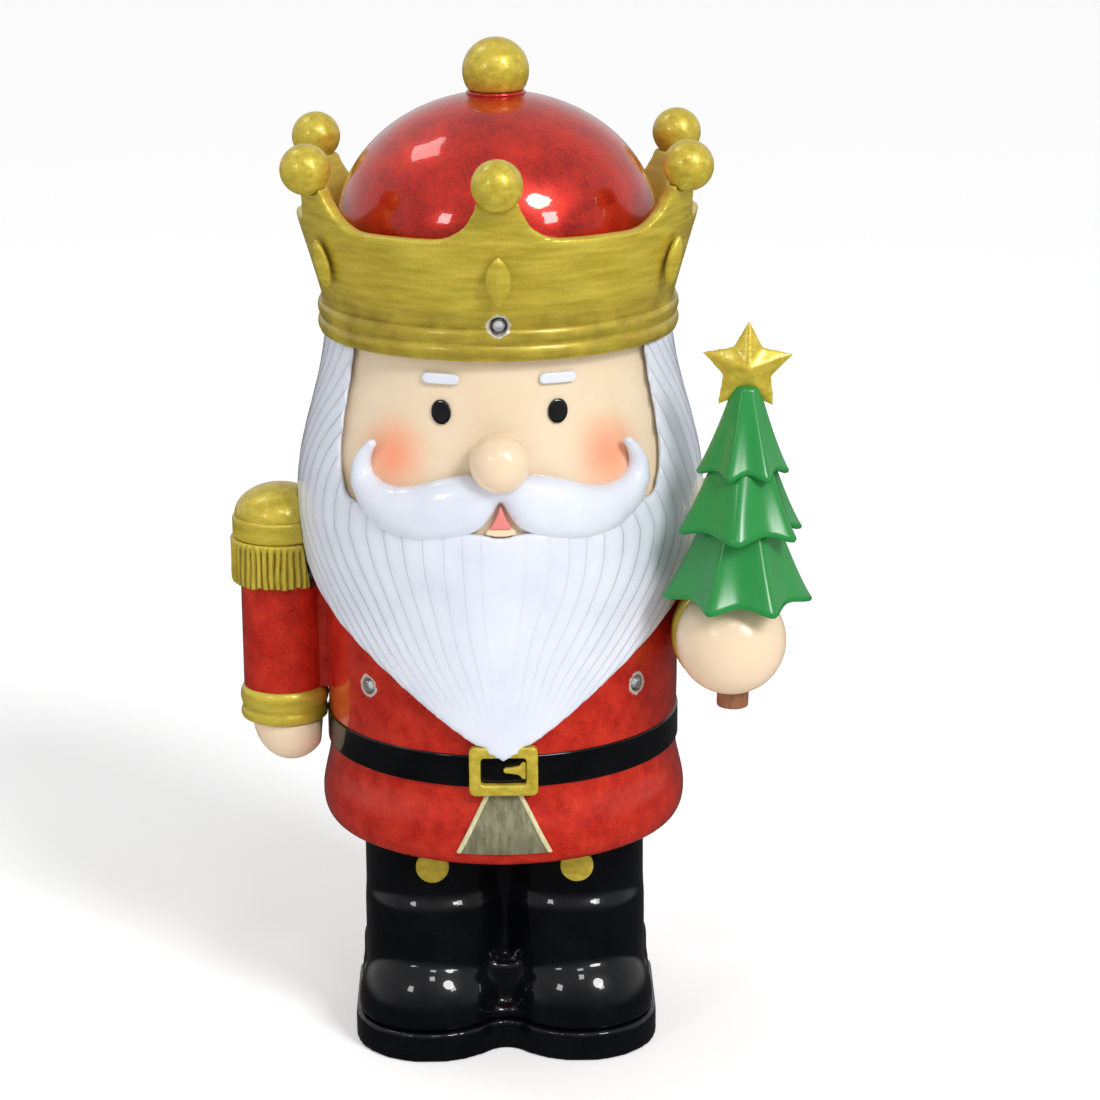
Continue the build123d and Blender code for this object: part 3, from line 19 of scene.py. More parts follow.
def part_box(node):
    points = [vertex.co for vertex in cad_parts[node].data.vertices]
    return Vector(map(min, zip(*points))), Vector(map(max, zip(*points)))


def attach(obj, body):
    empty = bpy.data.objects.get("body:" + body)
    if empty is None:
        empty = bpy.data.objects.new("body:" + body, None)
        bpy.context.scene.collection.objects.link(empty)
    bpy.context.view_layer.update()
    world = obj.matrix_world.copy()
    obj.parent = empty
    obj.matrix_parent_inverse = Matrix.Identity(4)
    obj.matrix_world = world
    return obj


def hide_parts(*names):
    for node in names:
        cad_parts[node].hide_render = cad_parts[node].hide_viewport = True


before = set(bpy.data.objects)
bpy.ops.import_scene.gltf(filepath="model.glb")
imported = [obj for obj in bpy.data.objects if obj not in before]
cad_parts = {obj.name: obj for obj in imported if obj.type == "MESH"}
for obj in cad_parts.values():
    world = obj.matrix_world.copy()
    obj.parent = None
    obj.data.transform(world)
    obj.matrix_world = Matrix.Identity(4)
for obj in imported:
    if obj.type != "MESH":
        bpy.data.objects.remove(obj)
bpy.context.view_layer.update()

logging.basicConfig(level=logging.INFO, format="%(levelname)s %(message)s", stream=sys.stdout)
LOG = logging.getLogger("nutcracker")

Rgb = tuple[float, float, float]
Triple = tuple[float, float, float]
Mover = Callable[[Vector, Vector], tuple[Vector, float]]
MM = 0.001
TURN = 2 * math.pi
SAME_POINT = 1e-6


# ---- Named choices ----
class Slot(Enum):
    """Material slots of the record."""

    BLACK = "black_gloss"
    GOLD = "gold"
    RED = "red_gloss"
    SILVER = "silver_paint"
    SKIN = "skin"
    WHITE = "white_gloss"
    PINK = "mouth_pink"
    GREEN = "green_metallic"
    BROWN = "trunk_brown"
    PLASTIC = "black_plastic"
    STEEL = "steel"


class Strokes(Enum):
    """How far a brush mark is squeezed along X, Y and Z."""

    LEVEL = (1.0, 1.0, 7.0)
    UPRIGHT = (6.0, 6.0, 1.0)
    DABBED = (1.0, 1.0, 1.4)
    SPRAYED = (1.0, 1.0, 1.0)


class Arm(Enum):
    """The two arms, by the side of the body that they are on."""

    HANGING = -1
    RAISED = 1


# ---- Small helpers ----
def swatch(red: int, green: int, blue: int) -> Rgb:
    """Linear colour of a paint chip, whose red, green and blue are 0 to 255 as they look."""
    parts = (value / 255 for value in (red, green, blue))
    return tuple(part / 12.92 if part <= 0.04045 else ((part + 0.055) / 1.055) ** 2.4 for part in parts)


def ease(value: float, low: float, high: float) -> float:
    """Smooth step of a value, from 0 at low to 1 at high."""
    share = min(1.0, max(0.0, (value - low) / (high - low)))
    return share * share * (3 - 2 * share)


def along(stations: tuple[tuple[float, ...], ...], place: float) -> list[float]:
    """Values read between stations that are sorted by their first number.

    Args:
        stations: Rows of a place and the values there.
        place: Where to read them.

    Returns:
        The values at that place, held at the ends.
    """
    if place <= stations[0][0]:
        return list(stations[0][1:])
    for before, after in zip(stations, stations[1:]):
        if place <= after[0]:
            share = (place - before[0]) / (after[0] - before[0])
            return [a + (b - a) * share for a, b in zip(before[1:], after[1:])]
    return list(stations[-1][1:])


def centre_of(node: str) -> Vector:
    """Middle of a frame node's box, in metres."""
    low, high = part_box(node)
    return (low + high) / 2


def smooth_noise(point: Vector, size: float) -> float:
    """Soft random value about -1 to 1 whose patches are size mm wide."""
    return noise.noise(point / (size * MM))


# ---- Finishes ----
class Wiring:
    """Node tree with short ways to add and join its nodes."""

    def __init__(self, tree: bpy.types.NodeTree) -> None:
        """Take the tree that the nodes go into."""
        self.tree = tree

    def join(self, node: bpy.types.Node, inputs: dict) -> bpy.types.Node:
        """Fill a node's inputs with sockets or constants.

        Args:
            node: The node to fill.
            inputs: Input names or numbers, each with a socket or a value.

        Returns:
            The same node.
        """
        for key, value in inputs.items():
            if isinstance(value, bpy.types.NodeSocket):
                self.tree.links.new(value, node.inputs[key])
            else:
                node.inputs[key].default_value = value
        return node

    def axes(self, place: bpy.types.NodeSocket) -> bpy.types.bpy_prop_collection:
        """X, Y and Z of a place, each as a socket."""
        split = self.tree.nodes.new("ShaderNodeSeparateXYZ")
        return self.join(split, {0: place}).outputs

    def spread(self, value: bpy.types.NodeSocket, low: object, high: object, start: float = 0.3,
               end: float = 0.7, smooth: bool = False) -> bpy.types.NodeSocket:
        """Value stretched from start..end to low..high and held beyond them.

        Args:
            value: What is stretched.
            low: Result at start.
            high: Result at end.
            start: Lowest input.
            end: Highest input.
            smooth: Ease in and out in place of a straight ramp.

        Returns:
            The stretched value.
        """
        node = self.tree.nodes.new("ShaderNodeMapRange")
        node.interpolation_type = "SMOOTHSTEP" if smooth else "LINEAR"
        self.join(node, {"Value": value, "From Min": start, "From Max": end, "To Min": low, "To Max": high})
        return node.outputs["Result"]


class Bench(Wiring):
    """Nodes of one finish, whose shader is ready to be joined."""

    def __init__(self, name: str) -> None:
        """Start a material under this name."""
        self.material = bpy.data.materials.new(name)
        self.material.use_nodes = True
        super().__init__(self.material.node_tree)
        self.tree.nodes.clear()
        output = self.tree.nodes.new("ShaderNodeOutputMaterial")
        self.shader = self.tree.nodes.new("ShaderNodeBsdfPrincipled")
        self.tree.links.new(self.shader.outputs["BSDF"], output.inputs["Surface"])

    def fixed(self, **values: float) -> None:
        """Set constants on the shader's own sockets, spaces written as underscores."""
        for key, value in values.items():
            self.shader.inputs[key.replace("_", " ")].default_value = value

    def feed(self, socket: str, value: bpy.types.NodeSocket) -> None:
        """Join a socket to one of the shader's inputs."""
        self.tree.links.new(value, self.shader.inputs[socket])

    def where(self, stretch: Triple = (1.0, 1.0, 1.0)) -> bpy.types.NodeSocket:
        """Place on the piece in metres, squeezed along each axis."""
        coordinates = self.tree.nodes.new("ShaderNodeTexCoord")
        mapping = self.tree.nodes.new("ShaderNodeMapping")
        self.join(mapping, {"Vector": coordinates.outputs["Object"], "Scale": stretch})
        return mapping.outputs["Vector"]

    def cloud(self, place: bpy.types.NodeSocket, size: float, detail: float = 2.0) -> bpy.types.NodeSocket:
        """Noise whose patches are about size mm wide.

        Args:
            place: Where to read it.
            size: Width of its patches in mm.
            detail: Octaves of finer noise on top.

        Returns:
            A value from about 0.2 to 0.8.
        """
        node = self.tree.nodes.new("ShaderNodeTexNoise")
        self.join(node, {"Vector": place, "Scale": 1000.0 / size, "Detail": detail, "Roughness": 0.55})
        return node.outputs["Fac"]

    def cells(self, place: bpy.types.NodeSocket, size: float,
              output: str = "Distance") -> bpy.types.NodeSocket:
        """Scattered cells about size mm wide: how far each point is from its cell's seed, or its colour."""
        node = self.tree.nodes.new("ShaderNodeTexVoronoi")
        self.join(node, {"Vector": place, "Scale": 1000.0 / size})
        return node.outputs[output]

    def sum(self, operation: str, first: object, second: object = 0.5) -> bpy.types.NodeSocket:
        """One step of arithmetic on two values."""
        node = self.tree.nodes.new("ShaderNodeMath")
        node.operation = operation
        self.join(node, {0: first, 1: second})
        return node.outputs[0]

    def mix(self, share: object, first: object, second: object, mode: str = "MIX") -> bpy.types.NodeSocket:
        """Two colours mixed by a share."""
        node = self.tree.nodes.new("ShaderNodeMix")
        node.data_type = "RGBA"
        node.blend_type = mode
        colours = [(*value, 1.0) if isinstance(value, tuple) else value for value in (first, second)]
        self.join(node, {0: share, 6: colours[0], 7: colours[1]})
        return node.outputs[2]

    def bump(self, height: bpy.types.NodeSocket, depth: float,
             under: bpy.types.NodeSocket | None = None) -> bpy.types.NodeSocket:
        """Relief of a height from 0 to 1.

        Args:
            height: What is raised.
            depth: How high 1 stands, in mm.
            under: Relief that this one lies on.

        Returns:
            The normal.
        """
        node = self.tree.nodes.new("ShaderNodeBump")
        self.join(node, {"Height": height, "Distance": depth * MM, "Strength": 1.0})
        if under is not None:
            self.tree.links.new(under, node.inputs["Normal"])
        return node.outputs["Normal"]

    def stored(self, name: str) -> bpy.types.NodeSocket:
        """Value that the mesh carries under a name."""
        node = self.tree.nodes.new("ShaderNodeAttribute")
        node.attribute_name = name
        return node.outputs["Fac"]

    def gap(self, point: Vector, both_sides: bool) -> bpy.types.NodeSocket:
        """Distance in metres from a point.

        Args:
            point: The point, in metres.
            both_sides: Whether the same point on the other side of the body counts as well.

        Returns:
            The distance.
        """
        place = self.where()
        if both_sides:
            parts = self.axes(place)
            merge = self.tree.nodes.new("ShaderNodeCombineXYZ")
            self.join(merge, {0: self.sum("ABSOLUTE", parts["X"]), 1: parts["Y"], 2: parts["Z"]})
            place = merge.outputs["Vector"]
        node = self.tree.nodes.new("ShaderNodeVectorMath")
        node.operation = "DISTANCE"
        self.join(node, {0: place, 1: tuple(point)})
        return node.outputs["Value"]


@dataclass(frozen=True)
class Finish:
    """Surface of a piece, mixed once and handed out to every piece that wears it."""

    name: str

    def material(self) -> bpy.types.Material:
        """Mix the finish when it is first asked for, and hand it out.

        Returns:
            The material.
        """
        if self.name not in bpy.data.materials:
            self.prepare(Bench(self.name))
        return bpy.data.materials[self.name]

    def prepare(self, bench: Bench) -> None:
        """Lay out the nodes of this kind of finish."""
        raise NotImplementedError


@dataclass(frozen=True)
class Paint(Finish):
    """Paint that was brushed or sprayed on a casting, under clear lacquer."""

    thin: Rgb
    full: Rgb
    strokes: Strokes = Strokes.SPRAYED
    stroke: float = 9.0
    stroke_depth: float = 0.01
    rough_low: float = 0.25
    rough_high: float = 0.4
    metallic: float = 0.0
    lacquer: float = 1.0
    lacquer_rough: float = 0.05
    dimple: float = 8.0
    dimple_depth: float = 0.09
    flake: float = 0.0
    speck: Rgb | None = None
    shine: float = 0.2
    lacquer_ior: float = 1.48

    def prepare(self, bench: Bench) -> None:
        """Lay brush marks, specks and dimples under the lacquer."""
        marks = bench.cloud(bench.where(self.strokes.value), self.stroke, 4.0)
        colour = bench.mix(bench.spread(marks, 0.0, 1.0), self.thin, self.full)
        if self.flake:
            glitter = bench.cells(bench.where(), 0.35, "Color")
            colour = bench.mix(self.flake, colour, glitter, "OVERLAY")
        if self.speck is not None:
            colour = bench.mix(self.specks(bench), colour, self.speck)
        bench.feed("Base Color", self.tint(bench, colour))
        bench.feed("Roughness", bench.spread(marks, self.rough_low, self.rough_high))
        bench.fixed(Metallic=self.metallic, Coat_Weight=self.lacquer, Coat_Roughness=self.lacquer_rough)
        bench.fixed(Specular_IOR_Level=self.shine, Coat_IOR=self.lacquer_ior)
        dimples = bench.bump(bench.cloud(bench.where(), self.dimple, 1.5), self.dimple_depth)
        relief = self.relief(bench, dimples)
        bench.feed("Coat Normal", relief)
        bench.feed("Normal", bench.bump(marks, self.stroke_depth, relief))

    def specks(self, bench: Bench) -> bpy.types.NodeSocket:
        """Rare nicks and specks in the paint, as a share from 0 to 1."""
        seeds = bench.cells(bench.where((1.0, 1.0, 0.6)), 9.0)
        return bench.spread(bench.sum("ADD", seeds, bench.cloud(bench.where(), 1.5)), 0.55, 0.0, 0.36, 0.4)

    def tint(self, bench: Bench, colour: bpy.types.NodeSocket) -> bpy.types.NodeSocket:
        """Colour after whatever this paint has on top; plain paint has nothing."""
        return colour

    def relief(self, bench: Bench, under: bpy.types.NodeSocket) -> bpy.types.NodeSocket:
        """Relief after whatever this paint has on top; plain paint has nothing."""
        return under


@dataclass(frozen=True)
class CarvedPaint(Paint):
    """Paint on a carved piece, with painted shade darkening the grooves that its mesh carries."""

    # Colour of the painted shade in the grooves, and how much of it is mixed in.
    groove_shade: Rgb = (0.3, 0.3, 0.3)
    groove_shade_amount: float = 0.7

    def tint(self, bench: Bench, colour: bpy.types.NodeSocket) -> bpy.types.NodeSocket:
        """Paint shade into the grooves, unevenly, by mixing in the darker groove colour."""
        uneven = bench.spread(bench.cloud(bench.where(), 4.0), self.groove_shade_amount * 0.6, self.groove_shade_amount)
        return bench.mix(bench.sum("MULTIPLY", bench.stored("groove_shade"), uneven), colour, self.groove_shade)


@dataclass(frozen=True)
class HairPaint(CarvedPaint):
    """White paint on the carved locks, with a fine cut line between them."""

    line_w: float = 0.07
    line_depth: float = 0.2
    lap_depth: float = 0.11

    def relief(self, bench: Bench, under: bpy.types.NodeSocket) -> bpy.types.NodeSocket:
        """Cut a crisp line where one lock meets the next, and lap each lock over its neighbour."""
        lock = bench.stored("lock")
        within = bench.sum("FRACT", lock)
        edge = bench.sum("MINIMUM", within, bench.sum("SUBTRACT", 1.0, within))
        line = bench.spread(edge, -1.0, 0.0, 0.0, self.line_w, smooth=True)
        depth = bench.stored("lock_depth")
        cut = bench.bump(bench.sum("MULTIPLY", line, depth), self.line_depth, under)
        return bench.bump(bench.sum("MULTIPLY", within, depth), self.lap_depth, cut)


@dataclass(frozen=True)
class LampSidePaint(Paint):
    """Paint chipped back to pale resin round the lamp holes."""

    lamp: str = "coat_lamps"
    chip: Rgb = (0.75, 0.72, 0.66)
    chip_reach: float = 2.5
    chip_ragged: float = 1.6
    chip_grain: float = 0.9
    lens_r: float = 1.5
    pair_span: float = 10.0

    def tint(self, bench: Bench, colour: bpy.types.NodeSocket) -> bpy.types.NodeSocket:
        """Show bare resin in a ragged ring round each lamp."""
        low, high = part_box(self.lamp)
        paired = high.x - low.x > self.pair_span * MM
        middle = centre_of(self.lamp)
        across = high.x - self.lens_r * MM if paired else middle.x
        point = Vector((across, low.y + self.lens_r * MM, middle.z))
        grain = bench.cloud(bench.where(), self.chip_grain, 3.0)
        ragged = bench.sum("MULTIPLY", grain, self.chip_ragged * MM)
        reach = bench.sum("SUBTRACT", bench.gap(point, paired), ragged)
        edge = (self.chip_reach - 0.3) * MM
        return bench.mix(bench.spread(reach, 0.85, 0.0, edge * 0.9, edge), colour, self.chip)


@dataclass(frozen=True)
class CrownPaint(LampSidePaint):
    """Brushed gold of the crown, with painted brown shade towards its foot."""

    shade: Rgb = (0.2, 0.13, 0.02)
    foot_h: float = 8.0
    fade_h: float = 7.0

    def tint(self, bench: Bench, colour: bpy.types.NodeSocket) -> bpy.types.NodeSocket:
        """Paint patchy brown shade on the foot of the wall, then chip the paint round the lamp."""
        low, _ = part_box("crown")
        foot = low.z + self.foot_h * MM
        level = bench.axes(bench.where())["Z"]
        # Painted shade: strongest at the foot of the wall, fading out above it, broken into patches.
        near = bench.spread(level, 0.45, 0.0, foot, foot + self.fade_h * MM, smooth=True)
        foot_shade_share = bench.sum("MULTIPLY", near, bench.spread(bench.cloud(bench.where(), 6.0), 0.3, 1.2))
        return super().tint(bench, bench.mix(foot_shade_share, colour, self.shade))


@dataclass(frozen=True)
class FacePaint(Paint):
    """Skin paint with an airbrushed blush on each cheek."""

    blush: Rgb = swatch(250, 142, 100)
    cheek_x: float = 27.6
    cheek_y: float = -40.2
    cheek_z: float = 161.0
    reach: float = 14.0
    full_r: float = 0.5
    speckle: float = 0.5

    def tint(self, bench: Bench, colour: bpy.types.NodeSocket) -> bpy.types.NodeSocket:
        """Fade the blush out from the middle of each cheek, with the speckle of an airbrush."""
        gap = bench.gap(Vector((self.cheek_x, self.cheek_y, self.cheek_z)) * MM, True)
        dots = bench.cloud(bench.where(), self.speckle, 3.0)
        uneven = bench.sum("ADD", gap, bench.spread(dots, -self.speckle * MM, self.speckle * MM))
        share = bench.spread(uneven, 0.85, 0.0, self.full_r * MM, self.reach * MM, smooth=True)
        return bench.mix(share, colour, self.blush)


@dataclass(frozen=True)
class TreePaint(CarvedPaint):
    """Green metallic paint, with painted shade in the folds' valleys and a painted highlight along their
    crests.
    """

    # Colour of the painted highlight on the folds' crests.
    crest_highlight: Rgb = (0.25, 0.62, 0.2)

    def tint(self, bench: Bench, colour: bpy.types.NodeSocket) -> bpy.types.NodeSocket:
        """Paint shade into the folds' valleys and a broken painted highlight onto their crests."""
        dark = super().tint(bench, colour)
        broken = bench.spread(bench.cloud(bench.where(), 1.6, 4.0), 0.15, 1.0)
        crest_highlight_share = bench.sum("MULTIPLY", bench.spread(bench.stored("crest"), 0.0, 0.6, 0.55, 1.0), broken)
        return bench.mix(crest_highlight_share, dark, self.crest_highlight)


@dataclass(frozen=True)
class Moulding(Finish):
    """Bare moulded plastic, insulation or plated metal, with its own grain."""

    colour: Rgb
    worn: Rgb
    rough_low: float
    rough_high: float
    metallic: float = 0.0
    grain: float = 0.4
    grain_depth: float = 0.01
    band: Rgb | None = None
    band_x: float = 11.0
    band_edge: float = 0.2

    def prepare(self, bench: Bench) -> None:
        """Lay out the grain, the wear of handling and the coloured band, if there is one."""
        grain = bench.cloud(bench.where(), self.grain, 3.0)
        handled = bench.cloud(bench.where(), 14.0, 5.0)
        colour = bench.mix(bench.spread(handled, 0.0, 0.6, 0.45, 0.75), self.colour, self.worn)
        if self.band is not None:
            across = bench.axes(bench.where())["X"]
            edge = bench.spread(across, 0.0, 1.0, self.band_x * MM, (self.band_x + self.band_edge) * MM)
            colour = bench.mix(edge, colour, self.band)
        bench.feed("Base Color", colour)
        bench.feed("Roughness", bench.spread(handled, self.rough_low, self.rough_high))
        bench.fixed(Metallic=self.metallic)
        bench.feed("Normal", bench.bump(grain, self.grain_depth))


@dataclass(frozen=True)
class Lens(Finish):
    """Water-clear epoxy of a lamp, slightly hazed by lacquer."""

    name: str = "clear_epoxy"
    hazed: Rgb = (0.86, 0.88, 0.9)
    clear: Rgb = (0.97, 0.98, 1.0)

    def prepare(self, bench: Bench) -> None:
        """Lay out the haze of the lacquer over the clear epoxy."""
        haze = bench.cloud(bench.where(), 0.8, 3.0)
        bench.feed("Base Color", bench.mix(bench.spread(haze, 0.0, 1.0), self.hazed, self.clear))
        bench.feed("Roughness", bench.spread(haze, 0.03, 0.16))
        bench.fixed(Transmission_Weight=0.85, IOR=1.52)
        bench.feed("Normal", bench.bump(haze, 0.012))


OLIVE_THIN = swatch(188, 166, 50)
OLIVE_FULL = swatch(220, 198, 76)
BLACK = Paint("black_lacquer", swatch(4, 5, 7), swatch(12, 13, 17), stroke=12.0, rough_low=0.25,
              rough_high=0.4, lacquer=0.8, lacquer_rough=0.03, dimple=9.0, dimple_depth=0.16, shine=0.08)
EYE = Paint("eye_black", swatch(3, 3, 4), swatch(8, 8, 10), rough_low=0.1, rough_high=0.2,
            lacquer_rough=0.02, dimple=4.0, dimple_depth=0.02)
GOLD = Paint("olive_gold", OLIVE_THIN, OLIVE_FULL, Strokes.LEVEL, 11.0, 0.05, 0.34, 0.5, 0.3, 0.6, 0.12,
             3.0, 0.05, 0.1)
GOLD_DABBED = Paint("olive_gold_dabbed", OLIVE_THIN, OLIVE_FULL, Strokes.DABBED, 2.6, 0.06, 0.34, 0.5, 0.3,
                    0.6, 0.14, 1.6, 0.05, 0.14)
GOLD_CROWN = CrownPaint("olive_gold_crown", OLIVE_THIN, OLIVE_FULL, Strokes.LEVEL, 12.0, 0.06, 0.34, 0.5,
                        0.3, 0.5, 0.14, 5.0, 0.07, 0.1, lamp="crown_lamp")
# The brown groove colour is painted shade between the fringe's strands.
GOLD_FRINGE = CarvedPaint("olive_gold_fringe", OLIVE_THIN, OLIVE_FULL, Strokes.UPRIGHT, 6.0, 0.06, 0.34, 0.5,
                          0.25, 0.5, 0.14, 2.0, 0.04, 0.1, groove_shade=swatch(82, 58, 10), groove_shade_amount=0.95)
RED = LampSidePaint("red_metallic", swatch(190, 36, 24), swatch(222, 56, 36), Strokes.SPRAYED, 5.0, 0.01,
                    0.26, 0.42, 0.3, 1.0, 0.05, 6.0, 0.14, 0.3)
RED_CAP = Paint("red_metallic_cap", swatch(176, 28, 16), swatch(214, 44, 26), Strokes.SPRAYED, 8.0, 0.01,
                0.24, 0.4, 0.45, 1.0, 0.05, 8.0, 0.14, 0.35)
SILVER = Paint("champagne_silver", swatch(136, 134, 104), swatch(186, 182, 150), Strokes.UPRIGHT, 8.0, 0.04,
               0.3, 0.45, 0.6, 0.4, 0.15, 3.0, 0.04, 0.12)
TRIM = Paint("placket_trim", swatch(206, 198, 150), swatch(236, 228, 186), Strokes.UPRIGHT, 5.0, 0.03,
             0.3, 0.45, 0.2, 0.5, 0.12, 3.0, 0.04)
SKIN_THIN = swatch(230, 207, 174)
SKIN_FULL = swatch(236, 216, 187)
SKIN = Paint("skin", SKIN_THIN, SKIN_FULL, stroke=14.0, rough_low=0.3, rough_high=0.4, lacquer=0.9,
             lacquer_rough=0.06, dimple=8.0, dimple_depth=0.1)
FACE = FacePaint("skin_face", SKIN_THIN, SKIN_FULL, stroke=14.0, rough_low=0.3, rough_high=0.4, lacquer=0.9,
                 lacquer_rough=0.05, dimple=8.0, dimple_depth=0.14)
WHITE = Paint("white_lacquer", swatch(216, 221, 233), swatch(227, 231, 242), stroke=14.0, rough_low=0.3,
              rough_high=0.4, lacquer_rough=0.05, dimple=8.0, dimple_depth=0.14)
# The bluish groove colour is painted shade between the locks.
HAIR = HairPaint("white_carved", swatch(214, 219, 231), swatch(226, 230, 241), stroke=14.0, rough_low=0.3,
                 rough_high=0.42, lacquer=0.9, lacquer_rough=0.06, dimple=7.0, dimple_depth=0.1,
                 speck=swatch(150, 118, 92), groove_shade=swatch(196, 202, 217), groove_shade_amount=0.3)
PINK = Paint("mouth_pink", swatch(226, 110, 110), swatch(244, 146, 140), stroke=3.0, stroke_depth=0.03,
             lacquer_rough=0.06, dimple=1.8, dimple_depth=0.14)
# The dark groove colour is painted shade in the folds' valleys; the crest colour is a painted highlight.
GREEN = TreePaint("green_metallic", swatch(22, 112, 46), swatch(66, 168, 84), Strokes.DABBED, 4.0, 0.03,
                  0.22, 0.38, 0.45, 1.0, 0.05, 1.8, 0.1, 0.6, groove_shade=swatch(8, 56, 24), groove_shade_amount=0.8)
# The dark groove colour is painted shade in the trunk's flats and splits.
TRUNK = CarvedPaint("trunk_brown", swatch(112, 62, 40), swatch(164, 100, 70), Strokes.UPRIGHT, 3.0, 0.08,
                    0.35, 0.5, 0.1, 0.6, 0.15, 1.6, 0.1, groove_shade=swatch(60, 30, 18))
PLASTIC = Moulding("moulded_black", swatch(30, 30, 31), swatch(46, 46, 47), 0.42, 0.6)
STEEL = Moulding("plated_steel", (0.62, 0.62, 0.63), (0.5, 0.5, 0.5), 0.2, 0.36, 1.0, 0.25, 0.004)
JACKET = Moulding("battery_jacket", swatch(52, 54, 60), swatch(70, 72, 78), 0.25, 0.4, 0.3, 0.5, 0.004,
                  swatch(176, 128, 62))
SLEEVING = Moulding("wire_insulation", swatch(182, 60, 52), swatch(150, 46, 40), 0.4, 0.55, 0.0, 1.2, 0.02)
CLEAR = Lens()


# ---- Shared ways of making pieces ----
def apply_bmesh(shape: bmesh.types.BMesh, piece: bpy.types.Object) -> None:
    """Write a bmesh into a piece, shaded smooth, and free it."""
    shape.to_mesh(piece.data)
    shape.free()
    piece.data.shade_smooth()


def new_piece(name: str, shape: bmesh.types.BMesh) -> bpy.types.Object:
    """Object of a bmesh, at the origin of the scene.

    Args:
        name: Name of the piece.
        shape: Its mesh, which is freed.

    Returns:
        The object.
    """
    piece = bpy.data.objects.new(name, bpy.data.meshes.new(name))
    bpy.context.scene.collection.objects.link(piece)
    apply_bmesh(shape, piece)
    return piece


def cast_in_one(piece: bpy.types.Object, cell: float, rounds: int) -> None:
    """Melt a piece's parts into one skin and round its edges, as casting does.

    Args:
        piece: The piece; its mesh is replaced.
        cell: Size of the skin's cells in mm.
        rounds: How often the skin is relaxed.
    """
    melt = piece.modifiers.new("melt", "REMESH")
    melt.mode = "VOXEL"
    melt.voxel_size = cell * MM
    graph = bpy.context.evaluated_depsgraph_get()
    skin = bpy.data.meshes.new_from_object(piece.evaluated_get(graph))
    skin.materials.clear()
    piece.modifiers.clear()
    piece.data = skin
    skin.name = piece.name
    shape = bmesh.new()
    shape.from_mesh(skin)
    for _ in range(rounds):
        bmesh.ops.smooth_vert(
            shape, verts=shape.verts, factor=0.5, use_axis_x=True, use_axis_y=True, use_axis_z=True
        )
    apply_bmesh(shape, piece)


def recast(node: str, cell: float, rounds: int) -> bpy.types.Object:
    """Copy of a frame node with the soft edges of a casting.

    Args:
        node: The frame node.
        cell: Size of the skin's cells in mm.
        rounds: How often the skin is relaxed.

    Returns:
        The new piece, named after the node with _cast.
    """
    shape = bmesh.new()
    shape.from_mesh(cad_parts[node].data)
    bmesh.ops.remove_doubles(shape, verts=shape.verts, dist=SAME_POINT)
    piece = new_piece(f"{node}_cast", shape)
    cast_in_one(piece, cell, rounds)
    return piece


# By default the value is kept as the mask of the painted shade that carved paints lay in the grooves.
def carve(piece: bpy.types.Object, mover: Mover, attribute: str = "groove_shade") -> None:
    """Move each point of a piece and keep a value there.

    Args:
        piece: The piece to carve.
        mover: Takes a point and its normal, and gives the new point and the value.
        attribute: Name that the value is kept under.
    """
    shape = bmesh.new()
    shape.from_mesh(piece.data)
    shape.normal_update()
    layer = shape.verts.layers.float.new(attribute)
    moved = [mover(vert.co.copy(), vert.normal.copy()) for vert in shape.verts]
    for vert, (point, value) in zip(shape.verts, moved):
        vert.co = point
        vert[layer] = value
    apply_bmesh(shape, piece)


def store(piece: bpy.types.Object, name: str, values: list[float]) -> None:
    """Keep one more value at each point of a piece."""
    attribute = piece.data.attributes.new(name, "FLOAT", "POINT")
    attribute.data.foreach_set("value", values)


class SubAssembly:
    """What all the sub-assemblies do with their pieces."""

    def dress(self, finish: Finish, *nodes: str) -> None:
        """Finish frame nodes that keep their own shape.

        Args:
            finish: What they are finished in.
            nodes: The nodes.
        """
        for node in nodes:
            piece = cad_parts[node]
            if not piece.material_slots:
                piece.data.materials.append(None)
            for place in piece.material_slots:
                place.material = finish.material()
            LOG.info("%s: frame shape, %s", node, finish.name)

    def stand_for(self, piece: bpy.types.Object, finish: Finish, slot: Slot, *nodes: str) -> None:
        """Finish a made piece, fix it to the figure and let it stand for frame nodes.

        Args:
            piece: The made piece.
            finish: What it is finished in.
            slot: The record's slot of that finish; not used.
            nodes: Frame nodes that it stands for.
        """
        piece.data.materials.clear()
        piece.data.materials.append(finish.material())
        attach(piece, "figure")
        if nodes:
            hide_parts(*nodes)
        LOG.info("%s: made, %d faces, %s", piece.name, len(piece.data.polygons), finish.name)


    def soften(self, finish: Finish, slot: Slot, **nodes: tuple[float, int]) -> None:
        """Recast frame nodes with soft edges and let the copies stand for them.

        Args:
            finish: What they are finished in.
            slot: The record's slot of that finish.
            nodes: The nodes, each with its cell in mm and how often it is relaxed.
        """
        for node, (cell, rounds) in nodes.items():
            self.stand_for(recast(node, cell, rounds), finish, slot, node)


# ---- Feet ----
@dataclass
class Feet(SubAssembly):
    """Boots with their soles and buttons."""

    boot_cell: float = 0.8
    sole_cell: float = 0.7
    button_cell: float = 0.3

    def build(self) -> None:
        """Recast the boots, soles and buttons with soft edges."""
        self.soften(BLACK, Slot.BLACK, boots=(self.boot_cell, 9), boot_soles=(self.sole_cell, 5))
        self.soften(GOLD_DABBED, Slot.GOLD, boot_buttons=(self.button_cell, 3))


# ---- Base ----
@dataclass
class Base(SubAssembly):
    """Base plate, battery box with its door and cells, and the switch."""

    def build(self) -> None:
        """Finish the moulded, plated and jacketed pieces under the figure."""
        self.dress(PLASTIC, "base_plate", "battery_tray", "switch_body", "battery_door", "switch_knob")
        self.dress(STEEL, "base_screws", "door_hinge_pin", "contact_springs", "contact_plates")
        self.dress(JACKET, "battery_1", "battery_2", "battery_3")
        self.dress(SLEEVING, "lamp_wires")


